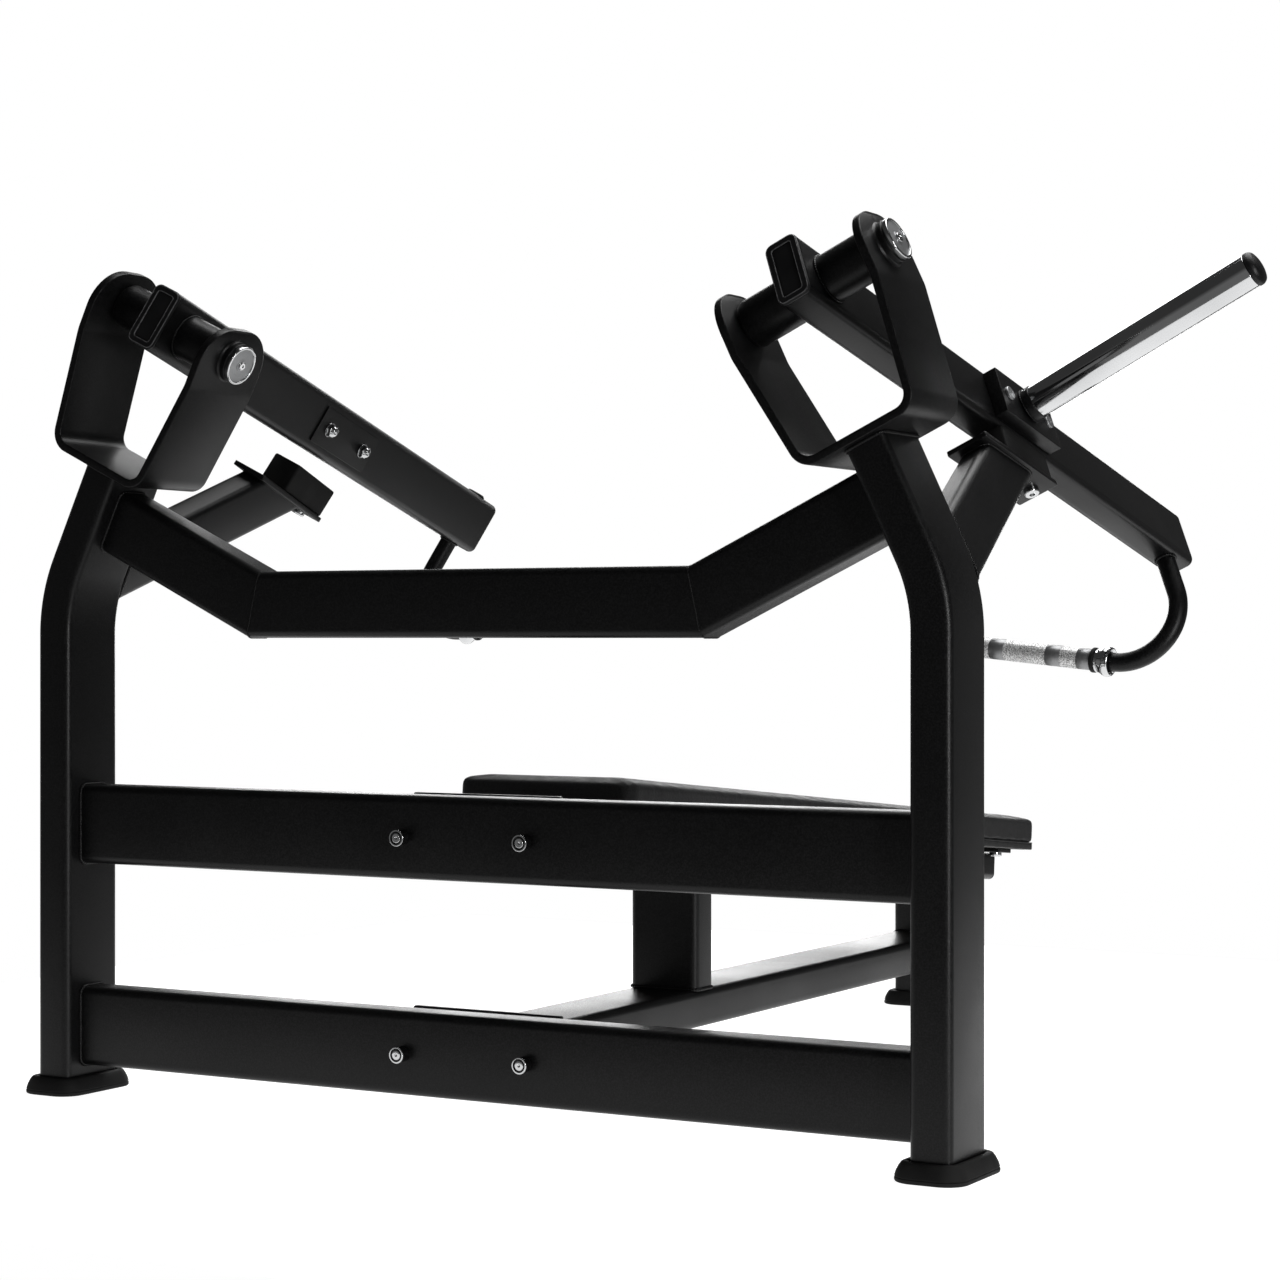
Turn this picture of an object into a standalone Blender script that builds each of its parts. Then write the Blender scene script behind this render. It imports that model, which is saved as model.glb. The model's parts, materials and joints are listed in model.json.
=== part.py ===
"""Plate-loaded lying chest press: a bench between two leaning uprights, and an arm hinged on each.

Metres, +Z up. +Y runs from the head end to the foot end and X = 0 is the plane that halves the
machine. The origin is on the floor, below the middle of the whole machine.
"""

import math

import bmesh
import bpy
from mathutils import Matrix, Vector

# Driving dimensions -------------------------------------------------------------------------
GAP = 0.0003  # clearance between neighbouring pieces
WELD_OVERLAP = 0.0005  # of two shapes joined into one piece
SPARE = 0.010  # that a shape runs past the tool that trims it
SHIFT_Y = -0.905  # from the rear face of the uprights to the origin

HALF_WIDTH = 0.758  # outer face of an upright
UPRIGHT_WIDTH = 0.060  # across the machine
UPRIGHT_DEPTH = 0.120  # along the machine
TUBE_CORNER = 0.012
TUBE_WALL = 0.003
LEAN = math.radians(25.5)  # of the upper part of an upright, towards the middle
BEND_RADIUS = 0.24  # centre line of the bend in an upright

PIVOT_X = 0.5355
PIVOT_Z = 1.160
YOKE_WIDTH = 0.150  # along the machine
YOKE_THICKNESS = 0.012
YOKE_BASE = 0.231  # below the pivot, to the underside of the strap
YOKE_TOP = 0.048  # above the pivot
YOKE_TOP_CORNER = 0.060
BOSS_DEPTH = 0.011  # that a cheek's boss stands out around the axle
YOKE_HALF_TOP = 0.118
YOKE_HALF_BASE = 0.092
YOKE_CREASE = 0.055  # below the pivot, where the cheeks start to close in

FOOT_HEIGHT = 0.026
FOOT_FLOOR = 0.010  # rubber under the end of a tube
FOOT_MARGIN = 0.021

BEAM_DEPTH = 0.060
BEAM_HEIGHT = 0.120
LOWER_BEAM_Z = 0.102
MIDDLE_BEAM_Z = 0.411
UPPER_BEAM_Z = 0.745
UPPER_BEAM_HEIGHT = 0.098
UPPER_BEAM_CORNER_X = 0.370
BEAM_BOLT_X = 0.103

SPINE_Z = 0.109
REAR_POST_Y = 0.640
FRONT_POST_Y = 1.650
FLANGE_HALF_WIDTH = 0.125
FLANGE_THICKNESS = 0.008
FLANGE_LIP = 0.0015  # a flange is this much taller than its beam, above and below

PAD_REAR_Y = 0.244
PAD_LENGTH = 1.585
PAD_WIDTH = 0.302
PAD_THICKNESS = 0.060
PAD_REAR_Z = 0.4906  # top of the pad at its rear end
PAD_SLOPE = math.radians(5.21)  # down towards the foot end
BOARD_THICKNESS = 0.012
RAIL_HEIGHT = 0.052
CROSS_PLATE_THICKNESS = 0.008
CROSS_PLATE_HALF = 0.128
CROSS_PLATE_LENGTH = 0.060
REAR_CROSS_PLATE_Y = 0.160  # along the pad
CROSS_PLATE_Y = 1.488  # along the pad, of the plate that its bolts go through
PAD_BOLT_X = 0.108
RAIL_END_Y = 1.822

ARM_PITCH = math.radians(19.2)  # of an arm on its stop, below the horizontal
LEFT_LIFT = math.radians(3.6)  # the left arm is held this far above its stop
ARM_WIDTH = 0.050
ARM_HEIGHT = 0.097
ARM_REAR = -0.060
ARM_FRONT = 1.064
ARM_WALL = 0.004
PIVOT_TUBE_RADIUS = 0.034
PIVOT_TUBE_HALF = 0.100
PIVOT_TUBE_WALL = 0.006
AXLE_RADIUS = 0.015
AXLE_HEAD_RADIUS = 0.030

HORN_Y = 0.505  # along the arm, from the pivot
HORN_RADIUS = 0.0245
HORN_CAP_LIP = 0.001
HORN_LENGTH = 0.374
HORN_TILT = math.radians(3.0)  # of the horn's tip, up from the axle's direction
BRACKET_LENGTH = 0.160
BRACKET_HEIGHT = 0.076
BRACKET_THICKNESS = 0.021
BRACKET_BOLT_SPACING = 0.115
BACKING_THICKNESS = 0.003
HORN_BOLT_HEAD_HEIGHT = 0.004
SOCKET_WALL = 0.0015  # of the collar on the bracket that holds the horn
SOCKET_LENGTH = 0.014

STOP_Y = 0.495  # middle of the bumper, along a resting arm
BUMPER_LENGTH = 0.130
BUMPER_WIDTH = 0.056
BUMPER_HEIGHT = 0.049
STOP_PLATE_REAR = 0.352
STOP_PLATE_FRONT = 0.560
STOP_PLATE_WIDTH = 0.066
STOP_PLATE_THICKNESS = 0.008
BRACE_WIDTH = 0.050
BRACE_HEIGHT = 0.094
BRACE_RISE = math.radians(25.0)
BRACE_FOOT = -0.391  # middle of the brace where it meets the upright, measured from the pivot

HANDLE_Y = 1.005
HANDLE_RADIUS = 0.015
HANDLE_LIP = 0.004  # that the bent tube's end stands out above the arm
HANDLE_DROP = 0.257  # from the arm's middle line to the corner of the bent tube
HANDLE_BEND = 0.086
GRIP_START = 0.178  # from that corner to the end of the collar
GRIP_LENGTH = 0.238
GRIP_RADIUS = 0.017
GRIP_RISE = math.radians(30.5)  # of the grip, from square to the arm
GRIP_SWEEP = math.radians(8.0)  # of the grip, towards the pivot
COLLAR_LENGTH = 0.026
O_RING_LENGTH = 0.007

BOLT_RADIUS = 0.006
BOLT_HEAD_RADIUS = 0.0115
BOLT_HEAD_HEIGHT = 0.016

SIDES = (("left", -1), ("right", 1))


# Scene and materials ------------------------------------------------------------------------
def clear_scene():
    for obj in list(bpy.data.objects):
        bpy.data.objects.remove(obj)


def new_collection(name):
    collection = bpy.data.collections.new(name)
    bpy.context.scene.collection.children.link(collection)
    return collection


def new_material(name, colour, roughness, metallic=0.0):
    material = bpy.data.materials.new(name)
    material.use_nodes = True
    shader = material.node_tree.nodes["Principled BSDF"]
    shader.inputs["Base Color"].default_value = (*colour, 1.0)
    shader.inputs["Roughness"].default_value = roughness
    shader.inputs["Metallic"].default_value = metallic
    material.diffuse_color = (*colour, 1.0)
    return material


clear_scene()
PARTS = new_collection("chest_press_machine")
CUTTERS = new_collection("cutters")
POWDER_COAT = new_material("black_powder_coat", (0.018, 0.018, 0.019), 0.42)
CHROME = new_material("chrome", (0.62, 0.63, 0.64), 0.14, 1.0)
KNURLED = new_material("knurled_chrome", (0.66, 0.67, 0.68), 0.45, 1.0)
RUBBER = new_material("black_rubber", (0.016, 0.016, 0.016), 0.72)
PLASTIC = new_material("black_plastic", (0.022, 0.022, 0.023), 0.50)
UPHOLSTERY = new_material("black_upholstery", (0.014, 0.014, 0.015), 0.62)
BOARD = new_material("backing_board", (0.030, 0.028, 0.026), 0.80)


# Frames -------------------------------------------------------------------------------------
def new_frame(name, location, rotation=(0.0, 0.0, 0.0), parent=None):
    """An empty that carries the pieces built in its own axes."""
    frame = bpy.data.objects.new(name, None)
    frame.empty_display_size = 0.1
    frame.location = location
    frame.rotation_euler = rotation
    frame.parent = parent
    PARTS.objects.link(frame)
    return frame


def lean_rotation(side):
    return (0.0, -side * LEAN, 0.0)


def arm_rotation(side, pitch):
    return (-pitch, -side * LEAN, 0.0)


# Shapes -------------------------------------------------------------------------------------
def add_mesh(name, mesh, material, frame, location=(0.0, 0.0, 0.0), rotation=(0.0, 0.0, 0.0)):
    if not mesh.materials:
        mesh.materials.append(material)
    obj = bpy.data.objects.new(name, mesh)
    obj.parent = frame
    obj.location = location
    obj.rotation_euler = rotation
    PARTS.objects.link(obj)
    return obj


def rounded_rectangle(width, height, radius, steps=2):
    """Corner arcs of a rectangle centred on the origin, anticlockwise."""
    points = []
    for quarter in range(4):
        start = quarter * math.pi / 2
        sign_x = 1 if quarter in (0, 3) else -1
        sign_y = 1 if quarter in (0, 1) else -1
        centre = Vector((sign_x * (width / 2 - radius), sign_y * (height / 2 - radius)))
        for step in range(steps + 1):
            angle = start + step * math.pi / 2 / steps
            points.append(centre + radius * Vector((math.cos(angle), math.sin(angle))))
    return points


def skin(bm, rings, closed=True):
    """Joins rings of vertices in turn, and caps the first and the last if closed."""
    count = len(rings[0])
    rows = [[bm.verts.new(point) for point in ring] for ring in rings]
    for row, following in zip(rows, rows[1:]):
        for i in range(count):
            j = (i + 1) % count
            bm.faces.new((row[i], row[j], following[j], following[i]))
    if closed:
        bm.faces.new(reversed(rows[0]))
        bm.faces.new(rows[-1])
    else:
        for i in range(count):
            j = (i + 1) % count
            bm.faces.new((rows[-1][i], rows[-1][j], rows[0][j], rows[0][i]))


def finish_mesh(bm, name, smooth=50.0):
    bmesh.ops.recalc_face_normals(bm, faces=bm.faces)
    mesh = bpy.data.meshes.new(name)
    bm.to_mesh(mesh)
    bm.free()
    mesh.shade_smooth()
    mesh.set_sharp_from_angle(angle=math.radians(smooth))
    return mesh


def loft(name, rings, material, frame, location=(0.0, 0.0, 0.0), rotation=(0.0, 0.0, 0.0)):
    bm = bmesh.new()
    skin(bm, rings)
    return add_mesh(name, finish_mesh(bm, name), material, frame, location, rotation)


def mitre_normals(path, ends):
    """The plane of the section at each point of a path: its ends as given, else square."""
    runs = [(b - a).normalized() for a, b in zip(path, path[1:])]
    normals = [ends[0] or runs[0]]
    normals += [(before + after).normalized() for before, after in zip(runs, runs[1:])]
    normals.append(ends[1] or runs[-1])
    return normals


def tube_rings(path, across, outline, ends):
    """Sections of a tube whose path bends in the plane square to the vector across."""
    rings = []
    runs = [(b - a).normalized() for a, b in zip(path, path[1:])]
    for i, normal in enumerate(mitre_normals(path, ends)):
        run = runs[min(i, len(runs) - 1)]
        up = run.cross(across)
        flat = [path[i] + across * p.x + up * p.y for p in outline]
        rings.append([q - run * ((q - path[i]).dot(normal) / run.dot(normal)) for q in flat])
    return rings


def tube(name, path, across, size, material, frame, wall=TUBE_WALL, ends=(None, None)):
    """A rectangular tube with rounded corners, open at both ends."""
    width, height = size
    path = [Vector(p) for p in path]
    across = Vector(across)
    outer = rounded_rectangle(width, height, TUBE_CORNER)
    inner = rounded_rectangle(width - 2 * wall, height - 2 * wall, TUBE_CORNER - wall)
    bm = bmesh.new()
    rings = tube_rings(path, across, outer, ends) + tube_rings(path, across, inner, ends)[::-1]
    skin(bm, rings, closed=False)
    return add_mesh(name, finish_mesh(bm, name), material, frame)


def turned(
    name, profile, material, frame, location=(0, 0, 0), rotation=(0, 0, 0), steps=24, ring=False
):
    """A profile of (radius, height) points turned about Z, listed down its outer side."""
    mesh = bpy.data.meshes.new(name)
    edges = [(i, i + 1) for i in range(len(profile) - 1)]
    if ring:
        edges.append((len(profile) - 1, 0))
    mesh.from_pydata([(radius, 0.0, height) for radius, height in profile], edges, [])
    obj = add_mesh(name, mesh, material, frame, location, rotation)
    screw = obj.modifiers.new("Turn", "SCREW")
    screw.steps = steps
    screw.render_steps = steps
    screw.use_merge_vertices = True
    screw.merge_threshold = 0.00001
    screw.use_smooth_shade = True
    return obj


def block_mesh(name, size, bevel):
    bm = bmesh.new()
    bmesh.ops.create_cube(bm, size=1.0)
    bmesh.ops.scale(bm, vec=Vector(size), verts=bm.verts)
    if bevel:
        bmesh.ops.bevel(bm, geom=bm.edges[:], offset=bevel, segments=2, profile=0.5, affect="EDGES")
    return finish_mesh(bm, name)


def block(name, size, bevel, material, frame, location, rotation=(0.0, 0.0, 0.0)):
    return add_mesh(name, block_mesh(name, size, bevel), material, frame, location, rotation)


def outline_mesh(name, outline, thickness):
    """A flat outline in X and Y, as thick as given, centred on Z = 0."""
    curve = bpy.data.curves.new(name, "CURVE")
    curve.dimensions = "2D"
    curve.fill_mode = "BOTH"
    curve.extrude = thickness / 2
    spline = curve.splines.new("POLY")
    spline.points.add(len(outline) - 1)
    for point, (x, y) in zip(spline.points, outline):
        point.co = (x, y, 0.0, 1.0)
    spline.use_cyclic_u = True
    obj = bpy.data.objects.new(name, curve)
    PARTS.objects.link(obj)
    mesh = bpy.data.meshes.new_from_object(obj.evaluated_get(bpy.context.evaluated_depsgraph_get()))
    bpy.data.objects.remove(obj)
    bm = bmesh.new()
    bm.from_mesh(mesh)
    bmesh.ops.remove_doubles(bm, verts=bm.verts, dist=0.00001)
    bpy.data.meshes.remove(mesh)
    return finish_mesh(bm, name)


def new_tool(name, mesh, frame, location=(0.0, 0.0, 0.0), rotation=(0.0, 0.0, 0.0)):
    """A hidden mesh that a Boolean uses."""
    tool = bpy.data.objects.new(name, mesh)
    tool.parent = frame
    tool.location = location
    tool.rotation_euler = rotation
    tool.hide_render = True
    tool.display_type = "WIRE"
    CUTTERS.objects.link(tool)
    return tool


def combine(obj, tool, operation):
    boolean = obj.modifiers.new(tool.name, "BOOLEAN")
    boolean.operation = operation
    boolean.solver = "EXACT"
    boolean.object = tool


def round_tool(name, radius, length, frame, location, rotation, segments):
    bm = bmesh.new()
    bmesh.ops.create_cone(
        bm, cap_ends=True, segments=segments, radius1=radius, radius2=radius, depth=length
    )
    return new_tool(name, finish_mesh(bm, name), frame, location, rotation)


def drill(obj, radius, length, location, rotation=(0.0, 0.0, 0.0), segments=16):
    """Cuts a round hole through a piece, in the axes of the piece's own frame."""
    name = f"{obj.name}_hole_{len(obj.modifiers)}"
    tool = round_tool(name, radius, length, obj.parent, location, rotation, segments)
    combine(obj, tool, "DIFFERENCE")


def weld_block(obj, name, size, location, rotation=(0.0, 0.0, 0.0), bevel=0.0):
    """Joins a plate to a piece, in the axes of the piece's own frame."""
    mesh = block_mesh(name, size, bevel)
    combine(obj, new_tool(name, mesh, obj.parent, location, rotation), "UNION")


# Uprights, feet and yokes -------------------------------------------------------------------
def upright_path():
    """Centre line of the right upright in X and Z, from the foot to the yoke."""
    x = HALF_WIDTH - UPRIGHT_WIDTH / 2
    along = Vector((math.sin(LEAN), 0.0, -math.cos(LEAN)))
    pivot = Vector((PIVOT_X, 0.0, PIVOT_Z))
    corner = pivot + along * ((x - PIVOT_X) / math.sin(LEAN))
    centre = Vector((x - BEND_RADIUS, 0.0, corner.z - BEND_RADIUS * math.tan(LEAN / 2)))
    steps = 8
    arc = []
    for step in range(steps + 1):
        angle = LEAN * step / steps
        arc.append(centre + BEND_RADIUS * Vector((math.cos(angle), 0.0, math.sin(angle))))
    top = pivot + along * (YOKE_BASE + GAP)
    return [Vector((x, 0.0, FOOT_FLOOR + GAP)), *arc, top]


def add_upright(name, side, root):
    path = [Vector((side * p.x, UPRIGHT_DEPTH / 2, p.z)) for p in upright_path()]
    size = (UPRIGHT_DEPTH, UPRIGHT_WIDTH)
    return tube(f"upright_{name}", path, (0.0, 1.0, 0.0), size, POWDER_COAT, root)


def add_foot(name, size, location, root):
    """A rubber boot: it flares to the floor, and the end of a tube stands in its pocket."""
    margins = (
        (0.0, FOOT_MARGIN - 0.0015),
        (0.0015, FOOT_MARGIN),
        (0.006, FOOT_MARGIN),
        (FOOT_HEIGHT - 0.0015, FOOT_MARGIN - 0.006),
        (FOOT_HEIGHT, FOOT_MARGIN - 0.0075),
        (FOOT_HEIGHT, 0.0045),
        (FOOT_HEIGHT - 0.003, 0.003),
        (FOOT_HEIGHT - 0.003, GAP),
        (FOOT_FLOOR, GAP),
    )
    rings = []
    for z, margin in margins:
        outline = rounded_rectangle(size[0] + 2 * margin, size[1] + 2 * margin, TUBE_CORNER + margin)
        rings.append([Vector((p.x, p.y, z)) for p in outline])
    return loft(name, rings, RUBBER, root, location)


def arc_points(centre, radius, start, end, steps):
    """Points of an arc in a plane, between two angles in degrees."""
    points = []
    for step in range(steps + 1):
        angle = math.radians(start + (end - start) * step / steps)
        points.append((centre[0] + radius * math.cos(angle), centre[1] + radius * math.sin(angle)))
    return points


def strap_side(half_top, half_base, base, corner):
    """One side of the strap's outline, from its top down to the middle of its base."""
    slope = math.degrees(math.atan2(half_top - half_base, base - YOKE_CREASE))
    crease = (half_top, -YOKE_CREASE)
    inset = corner * math.tan(math.radians(45.0 - slope / 2))
    centre = (half_base - inset, -base + corner)
    return [(half_top, YOKE_TOP + SPARE), crease, *arc_points(centre, corner, -slope, -90.0, 5)]


def yoke_outline():
    """The bent strap seen along the machine: outer side, then inner side."""
    thick = YOKE_THICKNESS
    outer = strap_side(YOKE_HALF_TOP, YOKE_HALF_BASE, YOKE_BASE, 0.032)
    inner = strap_side(YOKE_HALF_TOP - thick, YOKE_HALF_BASE - thick, YOKE_BASE - thick, 0.020)
    left = [(-x, z) for x, z in outer]
    inner_left = [(-x, z) for x, z in inner]
    return outer + left[::-1] + inner_left + inner[::-1]


def add_yoke(name, side, lean):
    """A strap bent to a U, its two round-topped cheeks bored for the axle."""
    upright = (math.pi / 2, 0.0, 0.0)
    mesh = outline_mesh(f"yoke_{name}", yoke_outline(), YOKE_WIDTH + 2 * SPARE)
    mesh.transform(Matrix.Rotation(math.pi / 2, 4, "X"))
    yoke = add_mesh(f"yoke_{name}", mesh, POWDER_COAT, lean)
    half = YOKE_WIDTH / 2
    centre = (half - YOKE_TOP_CORNER, YOKE_TOP - YOKE_TOP_CORNER)
    profile = [(half, -YOKE_BASE - SPARE), *arc_points(centre, YOKE_TOP_CORNER, 0.0, 90.0, 8)]
    profile += [(-x, z) for x, z in reversed(profile)]
    side_view = outline_mesh(f"yoke_{name}_profile", profile, 3 * YOKE_HALF_TOP)
    side_view.transform(Matrix.Rotation(math.pi / 2, 4, "Z") @ Matrix.Rotation(math.pi / 2, 4, "X"))
    combine(yoke, new_tool(f"yoke_{name}_profile", side_view, lean), "INTERSECT")
    for end in (-1, 1):
        place = (end * (YOKE_HALF_TOP + BOSS_DEPTH / 2 - 0.001), 0.0, 0.0)
        boss = round_tool(
            f"yoke_{name}_boss_{end + 1}",
            AXLE_HEAD_RADIUS + 0.001,
            BOSS_DEPTH + 0.002,
            lean,
            place,
            (0.0, math.pi / 2, 0.0),
            32,
        )
        combine(yoke, boss, "UNION")
    drill(yoke, AXLE_RADIUS + 0.0003, 4 * YOKE_HALF_TOP, (0.0, 0.0, 0.0), (0.0, math.pi / 2, 0.0), 24)
    return yoke


def add_axle(name, side, lean):
    """The pin, headed at its inner end, and the cap screwed on its outer end."""
    face = YOKE_HALF_TOP + BOSS_DEPTH + GAP
    head = 0.008
    dish = 0.009
    radius = AXLE_HEAD_RADIUS
    turn = (0.0, -side * math.pi / 2, 0.0)
    front = [
        (0.0, face + head - 0.0015),
        (dish - 0.002, face + head - 0.0015),
        (dish, face + head),
        (radius - 0.0015, face + head),
        (radius, face + head - 0.0015),
        (radius, face),
    ]
    pin = front + [(AXLE_RADIUS, face), (AXLE_RADIUS, -face), (0.0, -face)]
    turned(f"axle_pin_{name}", pin, CHROME, lean, rotation=turn)
    turned(f"axle_cap_{name}", front + [(0.0, face)], CHROME, lean, rotation=(0.0, -turn[1], 0.0))


# Arm stops ----------------------------------------------------------------------------------
def stop_underside():
    """Across the resting arm, from the pivot down to the top of the stop's plate."""
    return ARM_HEIGHT / 2 + BUMPER_HEIGHT + 2 * GAP


def add_stop(name, side, lean, rest):
    """A brace from the upright with a plate on its end, and the bumper that the arm rests on."""
    front = UPRIGHT_DEPTH / 2 + GAP
    down = Vector((0.0, math.sin(ARM_PITCH), math.cos(ARM_PITCH)))
    start = Vector((0.0, front, BRACE_FOOT))
    rise = Vector((0.0, math.cos(BRACE_RISE), math.sin(BRACE_RISE)))
    level = -stop_underside() - STOP_PLATE_THICKNESS / 2
    reach = (level - start.dot(down)) / rise.dot(down)
    brace = tube(
        f"stop_brace_{name}",
        [start, start + rise * reach],
        (1.0, 0.0, 0.0),
        (BRACE_WIDTH, BRACE_HEIGHT),
        POWDER_COAT,
        lean,
        ends=(Vector((0.0, 1.0, 0.0)), down),
    )
    length = STOP_PLATE_FRONT - STOP_PLATE_REAR
    middle = Vector((0.0, (STOP_PLATE_FRONT + STOP_PLATE_REAR) / 2, level))
    middle.rotate(Matrix.Rotation(-ARM_PITCH, 3, "X"))
    size = (STOP_PLATE_WIDTH, length, STOP_PLATE_THICKNESS)
    weld_block(brace, f"stop_plate_{name}", size, middle, (-ARM_PITCH, 0.0, 0.0), bevel=0.0015)

    bolt_y = STOP_Y + BUMPER_LENGTH / 2 - 0.023
    bolt = Vector((0.0, bolt_y, level))
    bolt.rotate(Matrix.Rotation(-ARM_PITCH, 3, "X"))
    drill(brace, BOLT_RADIUS + GAP, 0.03, bolt, (-ARM_PITCH, 0.0, 0.0))
    size = (BUMPER_WIDTH, BUMPER_LENGTH, BUMPER_HEIGHT)
    z = -ARM_HEIGHT / 2 - GAP - BUMPER_HEIGHT / 2
    bumper = block(f"stop_bumper_{name}", size, 0.003, RUBBER, rest, (0.0, STOP_Y, z))
    thread = 0.020
    drill(bumper, BOLT_RADIUS + GAP, 2 * thread, (0.0, bolt_y, z - BUMPER_HEIGHT / 2))
    under = -stop_underside() - STOP_PLATE_THICKNESS - GAP
    profile = set_screw(STOP_PLATE_THICKNESS + thread - 0.002)
    turned(f"stop_bolt_{name}", profile, CHROME, rest, (0.0, bolt_y, under), steps=16)


# Crossbeams ---------------------------------------------------------------------------------
def beam_bolt_turn():
    return (math.pi / 2, 0.0, 0.0)


def add_straight_beam(name, z, root):
    half = HALF_WIDTH - UPRIGHT_WIDTH - GAP
    y = UPRIGHT_DEPTH / 2
    path = [(-half, y, z), (half, y, z)]
    beam = tube(name, path, (0.0, 1.0, 0.0), (BEAM_DEPTH, BEAM_HEIGHT), POWDER_COAT, root)
    for end in (-1, 1):
        drill(beam, BOLT_RADIUS + GAP, 0.1, (end * BEAM_BOLT_X, y, z), beam_bolt_turn())
    return beam


def add_upper_beam(root):
    """Level in the middle, then square to the leaning uprights at both ends."""
    pivot = Vector((PIVOT_X, UPRIGHT_DEPTH / 2, PIVOT_Z))
    corner = Vector((UPPER_BEAM_CORNER_X, UPRIGHT_DEPTH / 2, UPPER_BEAM_Z))
    outward = Vector((math.cos(LEAN), 0.0, math.sin(LEAN)))
    reach = (pivot - corner).dot(outward) - UPRIGHT_WIDTH / 2 - GAP
    end = corner + outward * reach
    right = [corner, end]
    left = [Vector((-p.x, p.y, p.z)) for p in reversed(right)]
    size = (BEAM_DEPTH, UPPER_BEAM_HEIGHT)
    return tube("upper_crossbeam", left + right, (0.0, 1.0, 0.0), size, POWDER_COAT, root)


def through_bolt(grip, top=BOLT_HEAD_HEIGHT):
    """Profile of a bolt: a head above, a domed nut below, and the grip between."""
    head = BOLT_HEAD_RADIUS
    ease = min(0.003, top * 0.6)
    nut = BOLT_HEAD_HEIGHT
    return [
        (0.0, top),
        (head - ease, top),
        (head, top - ease),
        (head, 0.0),
        (BOLT_RADIUS, 0.0),
        (BOLT_RADIUS, -grip),
        (head, -grip),
        (head, -grip - nut * 0.5),
        (head * 0.6, -grip - nut * 0.9),
        (0.0, -grip - nut),
    ]


def set_screw(length):
    """Profile of a button-headed screw that points up, its head below."""
    return [
        (0.0, length),
        (BOLT_RADIUS, length),
        (BOLT_RADIUS, 0.0),
        (BOLT_HEAD_RADIUS, 0.0),
        (BOLT_HEAD_RADIUS, -0.002),
        (BOLT_HEAD_RADIUS * 0.75, -0.006),
        (0.0, -0.008),
    ]


def add_beam_bolts(level, z, root):
    grip = BEAM_DEPTH + FLANGE_THICKNESS + 3 * GAP
    profile = through_bolt(grip)
    rear = UPRIGHT_DEPTH / 2 - BEAM_DEPTH / 2 - GAP
    for name, side in SIDES:
        place = (side * BEAM_BOLT_X, rear, z)
        turned(f"{level}_beam_bolt_{name}", profile, CHROME, root, place, beam_bolt_turn(), steps=16)


# Bench --------------------------------------------------------------------------------------
def pad_point(along, below):
    """A point in the bench's middle plane: along the pad from its rear end, and below its top."""
    x = Vector((0.0, math.cos(PAD_SLOPE), -math.sin(PAD_SLOPE)))
    z = Vector((0.0, math.sin(PAD_SLOPE), math.cos(PAD_SLOPE)))
    return Vector((0.0, PAD_REAR_Y, PAD_REAR_Z)) + x * along - z * below


def rail_depth():
    """Below the pad's top, to the middle of the rail."""
    return PAD_THICKNESS + GAP + CROSS_PLATE_THICKNESS - WELD_OVERLAP + RAIL_HEIGHT / 2


def rail_underside(y):
    middle = pad_point(0.0, rail_depth() + RAIL_HEIGHT / 2 + GAP)
    return middle.z - (y - middle.y) * math.tan(PAD_SLOPE)


def flange_y():
    return UPRIGHT_DEPTH / 2 + BEAM_DEPTH / 2 + GAP + FLANGE_THICKNESS / 2


def weld_flange(obj, name, z):
    size = (2 * FLANGE_HALF_WIDTH, FLANGE_THICKNESS, BEAM_HEIGHT + 2 * FLANGE_LIP)
    weld_block(obj, name, size, (0.0, flange_y(), z), bevel=0.001)
    for end in (-1, 1):
        drill(obj, BOLT_RADIUS + GAP, 0.03, (end * BEAM_BOLT_X, flange_y(), z), beam_bolt_turn())


def add_spine(root):
    start = (0.0, flange_y(), SPINE_Z)
    end = (0.0, FRONT_POST_Y - BEAM_DEPTH / 2 - GAP, SPINE_Z)
    size = (BEAM_HEIGHT, BEAM_DEPTH)
    spine = tube("bench_spine", [start, end], (1.0, 0.0, 0.0), size, POWDER_COAT, root)
    weld_flange(spine, "spine_flange", LOWER_BEAM_Z)
    return spine


def add_post(name, y, bottom, root):
    """A post whose top is cut to the slope of the rail."""
    top = (0.0, y, rail_underside(y))
    size = (BEAM_HEIGHT, BEAM_DEPTH)
    slope = Vector((0.0, math.sin(PAD_SLOPE), math.cos(PAD_SLOPE)))
    path = [(0.0, y, bottom), top]
    return tube(name, path, (1.0, 0.0, 0.0), size, POWDER_COAT, root, ends=(None, slope))


def add_rail(root):
    """The sloping tube under the pad, with its rear flange and the two plates that hold the pad."""
    rear = pad_point(0.0, rail_depth())
    start_y = flange_y()
    start = Vector((0.0, start_y, rear.z + (rear.y - start_y) * math.tan(PAD_SLOPE)))
    end = Vector((0.0, RAIL_END_Y, rear.z - (RAIL_END_Y - rear.y) * math.tan(PAD_SLOPE)))
    size = (BEAM_HEIGHT, RAIL_HEIGHT)
    flat = Vector((0.0, 1.0, 0.0))
    rail = tube("pad_rail", [start, end], (1.0, 0.0, 0.0), size, POWDER_COAT, root, ends=(flat, None))
    weld_flange(rail, "rail_flange", MIDDLE_BEAM_Z)
    depth = PAD_THICKNESS + CROSS_PLATE_THICKNESS / 2 + GAP
    slope = (-PAD_SLOPE, 0.0, 0.0)
    for number, along in enumerate((REAR_CROSS_PLATE_Y, CROSS_PLATE_Y)):
        size = (2 * CROSS_PLATE_HALF, CROSS_PLATE_LENGTH, CROSS_PLATE_THICKNESS)
        weld_block(rail, f"cross_plate_{number}", size, pad_point(along, depth), slope, bevel=0.001)
    for side in (-1, 1):
        hole = pad_point(CROSS_PLATE_Y, depth) + Vector((side * PAD_BOLT_X, 0.0, 0.0))
        drill(rail, BOLT_RADIUS + GAP, 0.03, hole, slope)
    return end


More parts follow.
